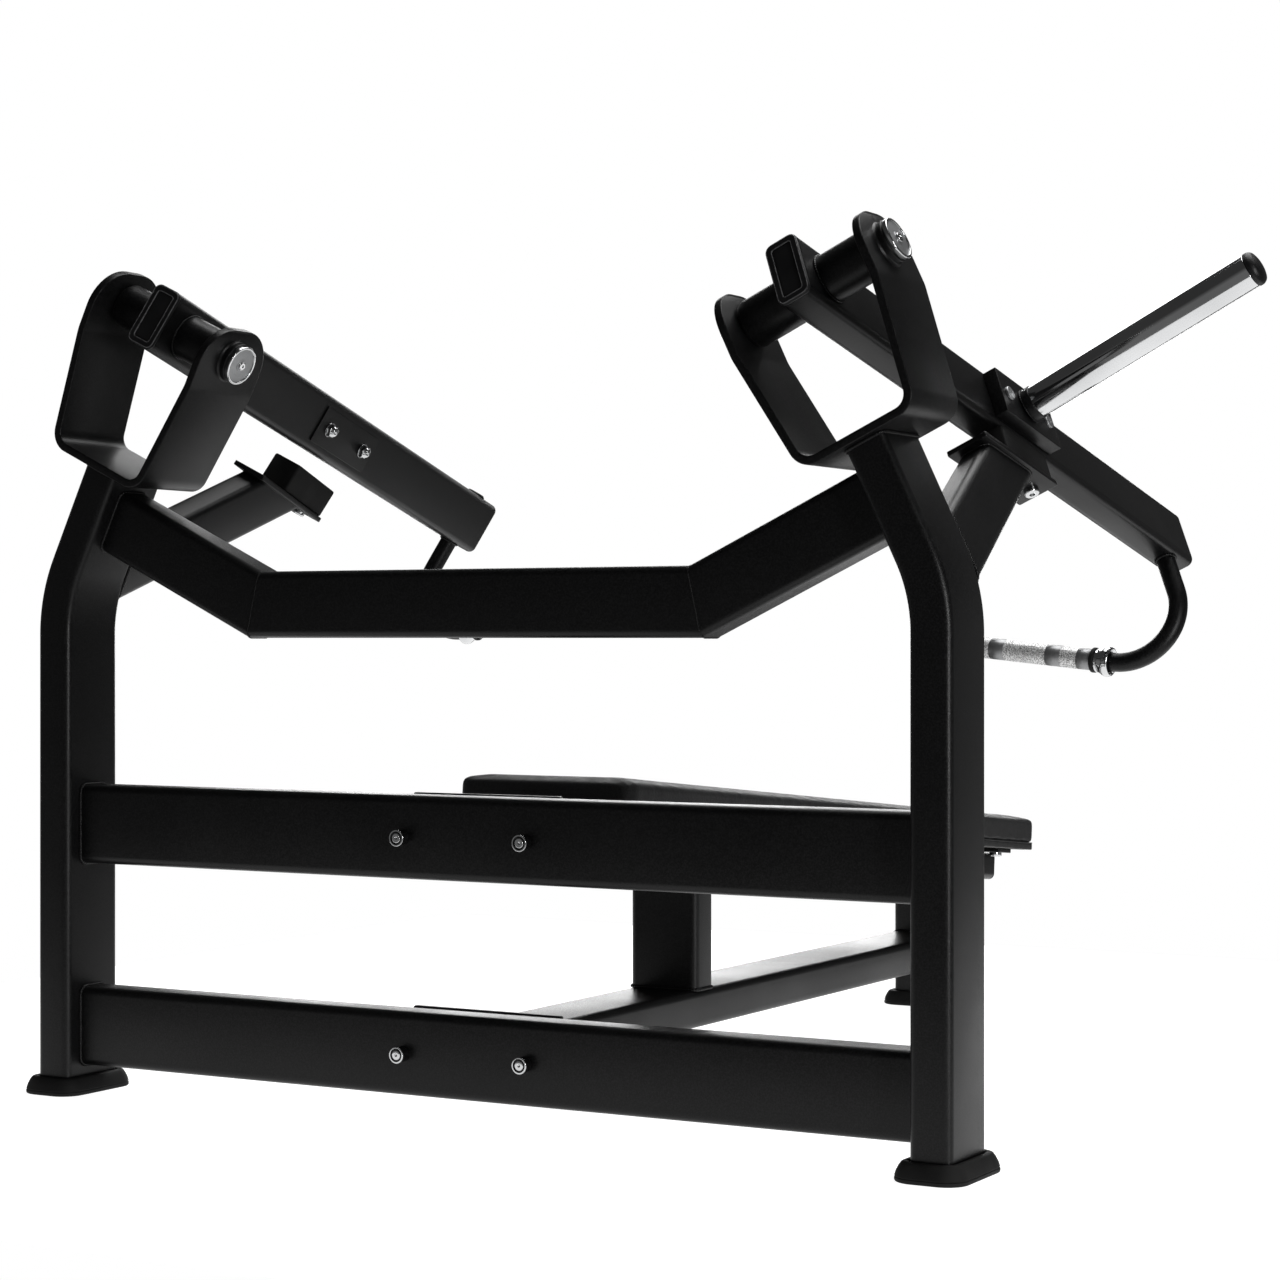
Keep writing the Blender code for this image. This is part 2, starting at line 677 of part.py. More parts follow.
def add_plug(name, size, material, frame, location, rotation):
    """A tube's end plug: a face with a recessed panel, and a body that enters the tube."""
    width, height = size
    wall = ARM_WALL + 0.0005
    face = 0.006
    panel = 0.009
    fit = TUBE_CORNER - ARM_WALL
    steps = (
        (-0.020, wall + 0.001, fit),
        (-0.018, wall, fit),
        (GAP, wall, fit),
        (GAP, 0.0, TUBE_CORNER - 0.002),
        (face - 0.002, 0.0, TUBE_CORNER - 0.002),
        (face, 0.002, TUBE_CORNER - 0.004),
        (face, panel, 0.003),
        (face - 0.0012, panel + 0.0012, 0.002),
    )
    rings = []
    for z, inset, corner in steps:
        outline = rounded_rectangle(width - 2 * inset, height - 2 * inset, corner)
        rings.append([Vector((p.x, p.y, z)) for p in outline])
    return loft(name, rings, material, frame, location, rotation)


def add_pad(root):
    """Board and cushion; the cushion's edges are rounded."""
    board_size = (PAD_WIDTH - 0.004, PAD_LENGTH - 0.004, BOARD_THICKNESS)
    board_depth = PAD_THICKNESS - BOARD_THICKNESS / 2
    slope = (-PAD_SLOPE, 0.0, 0.0)
    board_place = pad_point(PAD_LENGTH / 2, board_depth)
    board = block("pad_board", board_size, 0.0, BOARD, root, board_place, slope)
    thickness = PAD_THICKNESS - BOARD_THICKNESS - GAP
    size = (PAD_WIDTH, PAD_LENGTH, thickness)
    place = pad_point(PAD_LENGTH / 2, thickness / 2)
    block("pad_cushion", size, 0.010, UPHOLSTERY, root, place, slope)
    under = PAD_THICKNESS + CROSS_PLATE_THICKNESS + 2 * GAP
    profile = set_screw(BOARD_THICKNESS + CROSS_PLATE_THICKNESS - 0.003)
    for name, side in SIDES:
        across = Vector((side * PAD_BOLT_X, 0.0, 0.0))
        place = pad_point(CROSS_PLATE_Y, under) + across
        turned(f"pad_bolt_{name}", profile, CHROME, root, place, slope, steps=16)
        hole = pad_point(CROSS_PLATE_Y, board_depth) + across
        drill(board, BOLT_RADIUS + GAP, 0.03, hole, slope)


# Press arms ---------------------------------------------------------------------------------
def horn_bolt_places():
    return (HORN_Y - BRACKET_BOLT_SPACING / 2, HORN_Y + BRACKET_BOLT_SPACING / 2)


def arm_rings():
    """The closed, rounded front end of the arm, its outer skin, and the open bore from the rear."""
    sections = [(ARM_REAR + GAP, 0.0)]
    round_end = 0.008
    for step in range(4):
        angle = step * math.pi / 2 / 3
        y = ARM_FRONT - round_end + round_end * math.sin(angle)
        sections.append((y, round_end * (1 - math.cos(angle))))
    rings = []
    for y, inset in sections:
        size = (ARM_WIDTH - 2 * inset, ARM_HEIGHT - 2 * inset)
        outline = rounded_rectangle(*size, TUBE_CORNER - inset * 0.9)
        rings.append([Vector((-p.x, y, p.y)) for p in outline])
    bore = []
    for y in (ARM_REAR + GAP, ARM_FRONT - 0.008 - ARM_WALL):
        size = (ARM_WIDTH - 2 * ARM_WALL, ARM_HEIGHT - 2 * ARM_WALL)
        outline = rounded_rectangle(*size, TUBE_CORNER - ARM_WALL)
        bore.append([Vector((-p.x, y, p.y)) for p in outline])
    return rings[::-1] + bore


def add_arm_tube(name, side, arm):
    tube_body = loft(f"arm_tube_{name}", arm_rings(), POWDER_COAT, arm)
    across = (0.0, math.pi / 2, 0.0)
    inner_face = -side * (ARM_WIDTH / 2 + BACKING_THICKNESS / 2 - 0.0005)
    size = (BACKING_THICKNESS + 0.001, BRACKET_LENGTH + 0.020, BRACKET_HEIGHT - 0.012)
    weld_block(tube_body, f"backing_{name}", size, (inner_face, HORN_Y, 0.0))
    pivot = (f"pivot_tube_{name}", PIVOT_TUBE_RADIUS, 2 * PIVOT_TUBE_HALF)
    combine(tube_body, round_tool(*pivot, arm, (0.0, 0.0, 0.0), across, 32), "UNION")
    drill(tube_body, PIVOT_TUBE_RADIUS - PIVOT_TUBE_WALL, 0.3, (0.0, 0.0, 0.0), across, 24)
    for y in horn_bolt_places():
        drill(tube_body, BOLT_RADIUS + GAP, 0.2, (0.0, y, 0.0), across)
    drill(tube_body, HANDLE_RADIUS + 0.0004, 0.2, (0.0, HANDLE_Y, 0.0))
    return tube_body


def add_bushes(name, arm):
    """The flanged bush in each end of the pivot tube."""
    radius = PIVOT_TUBE_RADIUS
    bore = radius - PIVOT_TUBE_WALL
    half = PIVOT_TUBE_HALF
    flange = half + GAP + 0.004
    seat = half + GAP
    inner = AXLE_RADIUS + 0.0004
    bush = [
        (radius - 0.003, flange),
        (radius - 0.003, seat),
        (bore - 0.0004, seat),
        (bore - 0.0004, half - 0.035),
        (inner, half - 0.035),
        (inner, flange),
    ]
    for end, tilt in (("inner", -1), ("outer", 1)):
        direction = tilt if name == "right" else -tilt
        rotation = (0.0, direction * math.pi / 2, 0.0)
        turned(f"pivot_bush_{name}_{end}", bush, PLASTIC, arm, rotation=rotation, ring=True)


def add_socket(bracket, side, root, tilted, arm):
    """Welds the collar that the horn stands in to the bracket."""
    run = Vector((side * math.cos(HORN_TILT), 0.0, math.sin(HORN_TILT)))
    base = Vector((side * root, HORN_Y, 0.002))
    outer = HORN_RADIUS + SOCKET_WALL
    sunk = 0.006
    middle = base + run * (SOCKET_LENGTH - sunk) / 2
    collar = round_tool("socket", outer, SOCKET_LENGTH + sunk, arm, middle, tilted, 32)
    combine(bracket, collar, "UNION")
    middle = base + run * (SOCKET_LENGTH + SPARE - GAP) / 2
    bore = round_tool("socket_bore", HORN_RADIUS + GAP, SOCKET_LENGTH + SPARE, arm, middle, tilted, 32)
    combine(bracket, bore, "DIFFERENCE")


def add_horn(name, side, arm):
    """Bracket bolted to the arm's outer face, and the plate horn that stands out from it."""
    face = ARM_WIDTH / 2 + GAP
    size = (BRACKET_THICKNESS, BRACKET_LENGTH, BRACKET_HEIGHT)
    place = (side * (face + BRACKET_THICKNESS / 2), HORN_Y, 0.0)
    bracket = block(f"horn_bracket_{name}", size, 0.0015, POWDER_COAT, arm, place)
    outward = (0.0, side * math.pi / 2, 0.0)
    grip = BRACKET_THICKNESS + ARM_WIDTH + BACKING_THICKNESS + 3 * GAP
    start = face + BRACKET_THICKNESS + GAP
    for number, y in enumerate(horn_bolt_places()):
        drill(bracket, BOLT_RADIUS + GAP, 0.1, (place[0], y, 0.0), outward)
        bolt_name = f"horn_bolt_{name}_{('rear', 'front')[number]}"
        profile = through_bolt(grip, HORN_BOLT_HEAD_HEIGHT)
        turned(bolt_name, profile, CHROME, arm, (side * start, y, 0.0), outward, steps=16)
    root = start + HORN_RADIUS * math.sin(HORN_TILT)
    horn_place = (side * root, HORN_Y, 0.002)
    tilted = (0.0, side * (math.pi / 2 - HORN_TILT), 0.0)
    add_socket(bracket, side, root, tilted, arm)
    wall = HORN_RADIUS - 0.003
    tube_profile = [(HORN_RADIUS, HORN_LENGTH), (HORN_RADIUS, 0.0), (wall, 0.0), (wall, HORN_LENGTH)]
    turned(f"weight_horn_{name}", tube_profile, CHROME, arm, horn_place, tilted, 32, ring=True)
    end = HORN_LENGTH + GAP
    rim = HORN_RADIUS + HORN_CAP_LIP
    plug = HORN_RADIUS - 0.0034
    cap = [(0.0, end + 0.016), (rim * 0.55, end + 0.0142), (rim * 0.88, end + 0.0095)]
    cap += [(rim, end + 0.004), (rim, end), (plug, end), (plug, end - 0.025), (0.0, end - 0.025)]
    turned(f"horn_cap_{name}", cap, PLASTIC, arm, horn_place, tilted, 32)


def grip_direction(side):
    level = math.cos(GRIP_RISE)
    x = -side * level * math.cos(GRIP_SWEEP)
    return Vector((x, -level * math.sin(GRIP_SWEEP), math.sin(GRIP_RISE)))


def handle_points(side):
    """Centre line: down through the arm, round one bend, and straight through the grip."""
    top = Vector((0.0, HANDLE_Y, ARM_HEIGHT / 2 + HANDLE_LIP))
    corner = Vector((0.0, HANDLE_Y, -HANDLE_DROP))
    inward = grip_direction(side)
    down = Vector((0.0, 0.0, -1.0))
    bend = down.angle(inward)
    reach = HANDLE_BEND * math.tan(bend / 2)
    start = corner - down * reach
    towards_centre = (inward - down * inward.dot(down)).normalized()
    centre = start + towards_centre * HANDLE_BEND
    steps = 14
    arc = []
    for step in range(steps + 1):
        angle = bend * step / steps
        arc.append(centre + HANDLE_BEND * (down * math.sin(angle) - towards_centre * math.cos(angle)))
    end = corner + inward * (GRIP_START + GRIP_LENGTH)
    return [top, *arc, end]


def add_handle_tube(name, side, arm):
    curve = bpy.data.curves.new(f"handle_tube_{name}", "CURVE")
    curve.dimensions = "3D"
    curve.bevel_depth = HANDLE_RADIUS
    curve.bevel_resolution = 4
    curve.use_fill_caps = True
    points = handle_points(side)
    spline = curve.splines.new("POLY")
    spline.points.add(len(points) - 1)
    for point, place in zip(spline.points, points):
        point.co = (*place, 1.0)
    curve.materials.append(POWDER_COAT)
    handle = bpy.data.objects.new(f"handle_tube_{name}", curve)
    handle.parent = arm
    PARTS.objects.link(handle)


def add_grip(name, side, arm):
    """Flared collar, rubber ring and knurled sleeve, one after another on the bent tube."""
    corner = Vector((0.0, HANDLE_Y, -HANDLE_DROP))
    direction = grip_direction(side)
    turn = direction.to_track_quat("Z", "Y").to_euler()
    start = corner + direction * GRIP_START
    axis = new_frame(f"grip_axis_{name}", start, turn, arm)
    bore = HANDLE_RADIUS + 0.0004
    collar = [
        (0.0185, 0.0),
        (0.0185, -0.006),
        (0.0235, -0.015),
        (0.0235, -0.023),
        (0.0205, -COLLAR_LENGTH),
        (bore, -COLLAR_LENGTH),
        (bore, 0.0),
    ]
    turned(f"grip_collar_{name}", collar, CHROME, axis, ring=True)
    ring_top = GAP + O_RING_LENGTH
    ring = [(0.0180, ring_top), (0.0200, ring_top - 0.002), (0.0200, GAP + 0.002), (0.0180, GAP)]
    turned(f"grip_ring_{name}", ring + [(bore, GAP), (bore, ring_top)], RUBBER, axis, ring=True)
    low = ring_top + GAP
    end = GRIP_LENGTH + 0.006
    sleeve = [(0.0, end), (GRIP_RADIUS - 0.003, end), (GRIP_RADIUS, end - 0.003), (GRIP_RADIUS, low)]
    sleeve += [(bore, low), (bore, GRIP_LENGTH + GAP), (0.0, GRIP_LENGTH + GAP)]
    turned(f"grip_sleeve_{name}", sleeve, KNURLED, axis)


# Assembly -----------------------------------------------------------------------------------
def add_side(name, side, root):
    add_upright(name, side, root)
    foot_x = side * (HALF_WIDTH - UPRIGHT_WIDTH / 2)
    foot_size = (UPRIGHT_WIDTH, UPRIGHT_DEPTH)
    add_foot(f"foot_{name}", foot_size, (foot_x, UPRIGHT_DEPTH / 2, 0.0), root)
    pivot = (side * PIVOT_X, UPRIGHT_DEPTH / 2, PIVOT_Z)
    lean = new_frame(f"lean_{name}", pivot, lean_rotation(side), root)
    rest = new_frame(f"rest_{name}", pivot, arm_rotation(side, ARM_PITCH), root)
    add_yoke(name, side, lean)
    add_axle(name, side, lean)
    add_stop(name, side, lean, rest)

    pitch = ARM_PITCH - (LEFT_LIFT if name == "left" else 0.0)
    arm = new_frame(f"arm_axis_{name}", pivot, arm_rotation(side, pitch), root)
    add_arm_tube(name, side, arm)
    add_bushes(name, arm)
    plug_size = (ARM_WIDTH, ARM_HEIGHT)
    rear = (0.0, ARM_REAR, 0.0)
    add_plug(f"arm_rear_plug_{name}", plug_size, PLASTIC, arm, rear, (math.pi / 2, 0.0, 0.0))
    add_horn(name, side, arm)
    add_handle_tube(name, side, arm)
    add_grip(name, side, arm)


def add_centre(root):
    add_straight_beam("lower_crossbeam", LOWER_BEAM_Z, root)
    add_straight_beam("middle_crossbeam", MIDDLE_BEAM_Z, root)
    add_upper_beam(root)
    add_beam_bolts("lower", LOWER_BEAM_Z, root)
    add_beam_bolts("middle", MIDDLE_BEAM_Z, root)
    add_spine(root)
    add_post("rear_post", REAR_POST_Y, SPINE_Z + BEAM_DEPTH / 2 + GAP, root)
    add_post("front_post", FRONT_POST_Y, FOOT_FLOOR + GAP, root)
    add_foot("foot_front", (BEAM_HEIGHT, BEAM_DEPTH), (0.0, FRONT_POST_Y, 0.0), root)
    rail_end = add_rail(root)
    turn = (-math.pi / 2 - PAD_SLOPE, 0.0, 0.0)
    add_plug("rail_end_cap", (BEAM_HEIGHT, RAIL_HEIGHT), PLASTIC, root, rail_end, turn)
    add_pad(root)


def build():
    root = new_frame("machine", (0.0, SHIFT_Y, 0.0))
    add_centre(root)
    for name, side in SIDES:
        add_side(name, side, root)


build()
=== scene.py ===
"""Looks of the lying chest press machine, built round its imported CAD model.

Metres: +X to the user's right, +Y from the head end to the foot end, +Z up.
Every visible piece stands for one CAD node, in finer shape, or is a small trim beside it.
"""

import json
import math

import bmesh
import bpy
from mathutils import Matrix, Vector, noise


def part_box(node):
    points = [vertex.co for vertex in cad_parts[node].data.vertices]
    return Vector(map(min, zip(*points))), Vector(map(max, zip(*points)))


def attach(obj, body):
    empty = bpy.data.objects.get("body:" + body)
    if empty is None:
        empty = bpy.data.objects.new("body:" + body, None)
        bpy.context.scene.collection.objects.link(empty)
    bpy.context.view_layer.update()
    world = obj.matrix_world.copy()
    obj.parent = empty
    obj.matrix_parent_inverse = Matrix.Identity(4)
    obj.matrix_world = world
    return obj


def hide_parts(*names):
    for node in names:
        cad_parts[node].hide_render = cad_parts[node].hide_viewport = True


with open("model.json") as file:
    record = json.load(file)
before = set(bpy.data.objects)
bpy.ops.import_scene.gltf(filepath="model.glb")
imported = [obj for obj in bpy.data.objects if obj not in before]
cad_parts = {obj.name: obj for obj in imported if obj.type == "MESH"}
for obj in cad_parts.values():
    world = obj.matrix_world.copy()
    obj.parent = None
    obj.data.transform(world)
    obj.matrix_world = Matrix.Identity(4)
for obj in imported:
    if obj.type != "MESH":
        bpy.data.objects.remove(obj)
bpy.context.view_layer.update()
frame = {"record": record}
record = frame["record"]
behaviour = record["behaviour"]
BODY_OF = {node: body for body, nodes in behaviour["bodies"].items() for node in nodes}
JOINTS = {joint["name"]: joint for joint in behaviour["joints"]}

# Sizes that a node's box doesn't give -------------------------------------------------------
GAP = 0.0003
TUBE_CORNER = 0.012
TUBE_WALL = 0.003
WELD = 0.0028
FINE_WELD = 0.0026
MITRE_WELD = 0.0011
UPRIGHT_WIDTH = 0.060
UPRIGHT_DEPTH = 0.120
BEND_RADIUS = 0.24
BEAM_DEPTH = 0.060
UPPER_BEAM_HEIGHT = 0.098
UPPER_BEAM_CORNER = Vector((0.370, 0.0, 0.745))

YOKE_WIDTH = 0.150
YOKE_THICKNESS = 0.012
YOKE_BASE = 0.231
YOKE_TOP = 0.048
YOKE_TOP_CORNER = 0.060
YOKE_HALF_TOP = 0.118
YOKE_HALF_BASE = 0.092
YOKE_CREASE = 0.055
YOKE_CORNER = 0.026  # middle line of the strap's lower bends
BOSS_DEPTH = 0.011
AXLE_HEAD_RADIUS = 0.030
AXLE_HEAD_HEIGHT = 0.008

ARM_PITCH = math.radians(19.2)
ARM_WIDTH = 0.050
ARM_HEIGHT = 0.097
ARM_REAR = -0.060
ARM_FRONT = 1.064
ARM_END_ROUNDING = 0.008
PIVOT_TUBE_RADIUS = 0.034
PIVOT_TUBE_HALF = 0.100

HORN_Y = 0.505
HORN_RADIUS = 0.0245
HORN_LENGTH = 0.374
HORN_TILT = math.radians(3.0)
BRACKET_LENGTH = 0.160
BRACKET_HEIGHT = 0.076
BRACKET_THICKNESS = 0.021
BRACKET_BOLT_SPACING = 0.115
BACKING_THICKNESS = 0.003
HORN_BOLT_HEAD_HEIGHT = 0.004
SOCKET_WALL = 0.0015
SOCKET_LENGTH = 0.014

STOP_Y = 0.495
BUMPER_LENGTH = 0.130
BUMPER_WIDTH = 0.056
BUMPER_HEIGHT = 0.049
STOP_PLATE_REAR = 0.352
STOP_PLATE_FRONT = 0.560
STOP_PLATE_WIDTH = 0.066
STOP_PLATE_THICKNESS = 0.008
BRACE_WIDTH = 0.050
BRACE_HEIGHT = 0.094
BRACE_RISE = math.radians(25.0)
BRACE_FOOT = -0.391

HANDLE_Y = 1.005
HANDLE_RADIUS = 0.015
HANDLE_LIP = 0.004
HANDLE_DROP = 0.257
HANDLE_BEND = 0.086
GRIP_START = 0.178
GRIP_LENGTH = 0.238
GRIP_RADIUS = 0.017
GRIP_BANDS = ((0.023, 0.028), (0.026, 0.073), (0.026, 0.028))  # lengths, plain then knurled
GRIP_RISE = math.radians(30.5)
GRIP_SWEEP = math.radians(8.0)
COLLAR_LENGTH = 0.026
O_RING_LENGTH = 0.007

BOLT_HEAD_RADIUS = 0.0115
BOLT_HEAD_HEIGHT = 0.016
LOW_HEAD_HEIGHT = 0.0075
BEAM_BOLT_X = 0.103

PAD_SLOPE = math.radians(5.21)
PAD_WIDTH = 0.302
PAD_LENGTH = 1.585
PAD_THICKNESS = 0.060
BOARD_THICKNESS = 0.012
CUSHION_THICKNESS = PAD_THICKNESS - BOARD_THICKNESS - GAP
PAD_CORNER = 0.022
PAD_EDGE = 0.009
PAD_EASE = 0.002  # the cover is this much smaller than the pad before it is filled
PAD_SWELL = 0.005  # most that the filled cover moves
COVER_VOXEL = 0.006
FILL_PRESSURE = 4.0
FILL_FRAMES = 20
PAD_BOLT_X = 0.108
PAD_BOLT_Y = 1.488
CROSS_PLATE_HALF = 0.128
CROSS_PLATE_LENGTH = 0.060
REAR_CROSS_PLATE_Y = 0.160
CROSS_PLATE_THICKNESS = 0.008
RAIL_HEIGHT = 0.052
FLANGE_LIP = 0.0015
FLANGE_THICKNESS = 0.008
PLUG_THICKNESS = 0.006

ACROSS = Vector((1.0, 0.0, 0.0))
FORWARD = Vector((0.0, 1.0, 0.0))
UP = Vector((0.0, 0.0, 1.0))
TURN_OVER = Matrix.Rotation(math.pi, 4, "X")
QUARTER_X = Matrix.Rotation(math.pi / 2, 4, "X")
QUARTER_Y = Matrix.Rotation(math.pi / 2, 4, "Y")
FLOOR_HALF = 1.75  # the floor ends beyond the machine, against the white room

SIDES = (("left", -1), ("right", 1))


# Materials ----------------------------------------------------------------------------------
class Look:
    """A new material and short ways to wire its nodes."""

    def __init__(self, name, colour, roughness, metallic=0.0, specular=0.5):
        self.material = bpy.data.materials.new(name)
        self.material.use_nodes = True
        self.tree = self.material.node_tree
        self.shader = self.tree.nodes["Principled BSDF"]
        self.shader.inputs["Base Color"].default_value = (*colour, 1.0)
        self.shader.inputs["Roughness"].default_value = roughness
        self.shader.inputs["Metallic"].default_value = metallic
        self.shader.inputs["Specular IOR Level"].default_value = specular
        self.material.diffuse_color = (*colour, 1.0)
        self.coords = self.tree.nodes.new("ShaderNodeTexCoord")

    def link(self, source, target):
        self.tree.links.new(source, target)

    def stretched(self, scale, space="Object"):
        mapping = self.tree.nodes.new("ShaderNodeMapping")
        mapping.inputs["Scale"].default_value = scale
        self.link(self.coords.outputs[space], mapping.inputs["Vector"])
        return mapping.outputs["Vector"]

    def noise(self, scale, detail=2.0, vector=None):
        node = self.tree.nodes.new("ShaderNodeTexNoise")
        node.inputs["Scale"].default_value = scale
        node.inputs["Detail"].default_value = detail
        self.link(vector or self.coords.outputs["Object"], node.inputs["Vector"])
        return node.outputs["Fac"]

    def cells(self, scale, feature="F1", vector=None):
        node = self.tree.nodes.new("ShaderNodeTexVoronoi")
        node.feature = feature
        node.inputs["Scale"].default_value = scale
        self.link(vector or self.coords.outputs["Object"], node.inputs["Vector"])
        return node.outputs["Distance"]

    def remap(self, value, from_low, from_high, to_low, to_high):
        node = self.tree.nodes.new("ShaderNodeMapRange")
        limits = (from_low, from_high, to_low, to_high)
        for name, limit in zip(("From Min", "From Max", "To Min", "To Max"), limits):
            node.inputs[name].default_value = limit
        self.link(value, node.inputs["Value"])
        return node.outputs["Result"]

    def combine(self, first, second, operation="ADD"):
        node = self.tree.nodes.new("ShaderNodeMath")
        node.operation = operation
        self.link(first, node.inputs[0])
        self.link(second, node.inputs[1])
        return node.outputs["Value"]

    def tint(self, value, low, high, first, second):
        """Base colour that runs from the first to the second as a value goes from low to high."""
        node = self.tree.nodes.new("ShaderNodeMix")
        node.data_type = "RGBA"
        node.inputs["A"].default_value = (*first, 1.0)
        node.inputs["B"].default_value = (*second, 1.0)
        self.link(self.remap(value, low, high, 0.0, 1.0), node.inputs["Factor"])
        self.link(node.outputs["Result"], self.shader.inputs["Base Color"])

    def rough(self, value, low, high, from_low=0.3, from_high=0.7):
        remapped = self.remap(value, from_low, from_high, low, high)
        self.link(remapped, self.shader.inputs["Roughness"])

    def bump(self, height, strength, distance):
        node = self.tree.nodes.new("ShaderNodeBump")
        node.inputs["Strength"].default_value = strength
        node.inputs["Distance"].default_value = distance
        self.link(height, node.inputs["Height"])
        self.link(node.outputs["Normal"], self.shader.inputs["Normal"])


def powder_coat():
    """Satin black powder coat: orange peel, a fine fleck, and handled patches a little glossier."""
    look = Look("powder_coat_black", (0.004, 0.004, 0.0042), 0.36, specular=0.2)
    grain = look.noise(430.0, 3.0)
    look.tint(grain, 0.40, 0.68, (0.0012, 0.0012, 0.0013), (0.0068, 0.0068, 0.0071))
    look.rough(look.combine(look.noise(5.0, 4.0), grain, "MULTIPLY"), 0.30, 0.42, 0.15, 0.35)
    look.bump(look.combine(grain, look.noise(1300.0, 1.0)), 0.28, 0.0004)
    return look.material


def chrome():
    """Polished chrome plate with faint smudges and hairline scratches round it."""
    look = Look("chrome_polished", (0.55, 0.555, 0.56), 0.07, 1.0)
    smudge = look.noise(9.0, 5.0)
    hairline = look.noise(60.0, 2.0, look.stretched((0.4, 22.0, 1.0), "UV"))
    look.rough(look.combine(smudge, hairline, "MULTIPLY"), 0.045, 0.16, 0.12, 0.42)
    look.tint(smudge, 0.35, 0.75, (0.50, 0.505, 0.51), (0.60, 0.605, 0.61))
    look.bump(hairline, 0.03, 0.0002)
    return look.material


def turned_steel():
    """Lathe-turned steel: fine rings round the axis under a thin plating."""
    look = Look("steel_turned", (0.34, 0.345, 0.35), 0.42, 1.0)
    rings = look.noise(30.0, 3.0, look.stretched((0.3, 60.0, 1.0), "UV"))
    look.rough(rings, 0.36, 0.52)
    look.tint(rings, 0.3, 0.7, (0.28, 0.285, 0.29), (0.40, 0.405, 0.41))
    look.bump(rings, 0.25, 0.0003)
    return look.material


def knurled_chrome():
    """Chrome over a cut diamond knurl: a fine random speckle, its bright points painted glints among
    darker ones.
    """
    look = Look("chrome_knurled", (0.80, 0.80, 0.80), 0.4, 0.6)
    glint_speckle = look.noise(620.0, 2.0)
    look.rough(glint_speckle, 0.30, 0.6)
    # Painted glints: the speckle runs the colour from dull grey to near white.
    look.tint(glint_speckle, 0.42, 0.54, (0.20, 0.20, 0.20), (0.88, 0.88, 0.88))
    look.bump(glint_speckle, 0.5, 0.0004)
    return look.material


def moulded_rubber():
    """Matt black rubber with dust in its pores."""
    look = Look("rubber_moulded", (0.006, 0.006, 0.006), 0.7, specular=0.2)
    dust = look.noise(14.0, 5.0)
    look.tint(dust, 0.5, 0.8, (0.004, 0.004, 0.004), (0.013, 0.0125, 0.012))
    look.rough(dust, 0.58, 0.8)
    look.bump(look.combine(look.noise(900.0, 2.0), look.cells(600.0)), 0.18, 0.0003)
    return look.material


def moulded_plastic():
    """Black plastic with the fine grain of its mould."""
    look = Look("plastic_moulded", (0.006, 0.006, 0.0063), 0.42, specular=0.25)
    grain = look.cells(1100.0, "SMOOTH_F1")
    look.tint(look.noise(20.0, 3.0), 0.3, 0.7, (0.004, 0.004, 0.0043), (0.009, 0.009, 0.0095))
    look.rough(look.noise(30.0, 3.0), 0.34, 0.5)
    look.bump(grain, 0.25, 0.0003)
    return look.material


def highlight_rib():
    """Raised line round a plug, smooth, and a little paler than its face: a painted highlight along
    it.
    """
    look = Look("plastic_rubbed", (0.07, 0.07, 0.072), 0.3, specular=0.5)
    highlight_tone = look.noise(160.0, 3.0)
    # Painted highlight: the rib's grey is paler than the plug's face.
    look.tint(highlight_tone, 0.35, 0.65, (0.045, 0.045, 0.047), (0.10, 0.10, 0.103))
    look.rough(highlight_tone, 0.24, 0.4)
    look.bump(highlight_tone, 0.1, 0.0002)
    return look.material


def synthetic_leather():
    """Black upholstery: pebbled grain, creases between the pebbles, and a soft sheen."""
    look = Look("leather_synthetic", (0.006, 0.006, 0.0063), 0.5, specular=0.2)
    look.shader.inputs["Sheen Weight"].default_value = 0.03
    look.shader.inputs["Sheen Roughness"].default_value = 0.5
    bent = look.stretched((1.0, 0.8, 1.0))
    pebbles = look.cells(430.0, "SMOOTH_F1", bent)
    creases = look.cells(210.0, "DISTANCE_TO_EDGE", bent)
    height = look.combine(pebbles, look.remap(creases, 0.0, 0.12, -0.5, 0.0))
    look.tint(pebbles, 0.1, 0.8, (0.009, 0.009, 0.0094), (0.003, 0.003, 0.0032))
    look.rough(look.noise(45.0, 4.0), 0.46, 0.62)
    look.bump(height, 0.4, 0.0006)
    return look.material


def painted_board():
    """Dark cloth-backed board, with a grain along its length."""
    look = Look("board_painted", (0.016, 0.015, 0.014), 0.75, specular=0.3)
    grain = look.noise(40.0, 4.0, look.stretched((14.0, 0.6, 14.0)))
    look.tint(grain, 0.3, 0.7, (0.012, 0.011, 0.010), (0.024, 0.022, 0.020))
    look.rough(grain, 0.68, 0.82)
    look.bump(grain, 0.3, 0.0006)
    return look.material


def satin_steel():
    """Plain bands between the knurls: plated, but dulled by hands."""
    look = Look("chrome_satin", (0.24, 0.243, 0.246), 0.36, 0.8)
    turned = look.noise(40.0, 3.0, look.stretched((0.3, 40.0, 1.0), "UV"))
    look.rough(turned, 0.30, 0.44)
    look.tint(turned, 0.3, 0.7, (0.19, 0.192, 0.195), (0.29, 0.293, 0.297))
    look.bump(turned, 0.15, 0.0002)
    return look.material


def studio_floor():
    """Pale matt floor that glows a little, so that it stays even under the machine."""
    look = Look("floor_pale", (0.40, 0.40, 0.40), 0.7, specular=0.1)
    grain = look.noise(3.0, 4.0)
    look.tint(grain, 0.3, 0.7, (0.38, 0.38, 0.38), (0.42, 0.42, 0.42))
    look.rough(grain, 0.6, 0.75)
    look.shader.inputs["Emission Color"].default_value = (1.0, 1.0, 1.0, 1.0)
    look.shader.inputs["Emission Strength"].default_value = 0.96
    return look.material


POWDER_COAT = powder_coat()
CHROME = chrome()
STEEL = turned_steel()
KNURLED = knurled_chrome()
RUBBER = moulded_rubber()
PLASTIC = moulded_plastic()
PAINTED_HIGHLIGHT_RIB = highlight_rib()
LEATHER = synthetic_leather()
BOARD = painted_board()
SATIN = satin_steel()


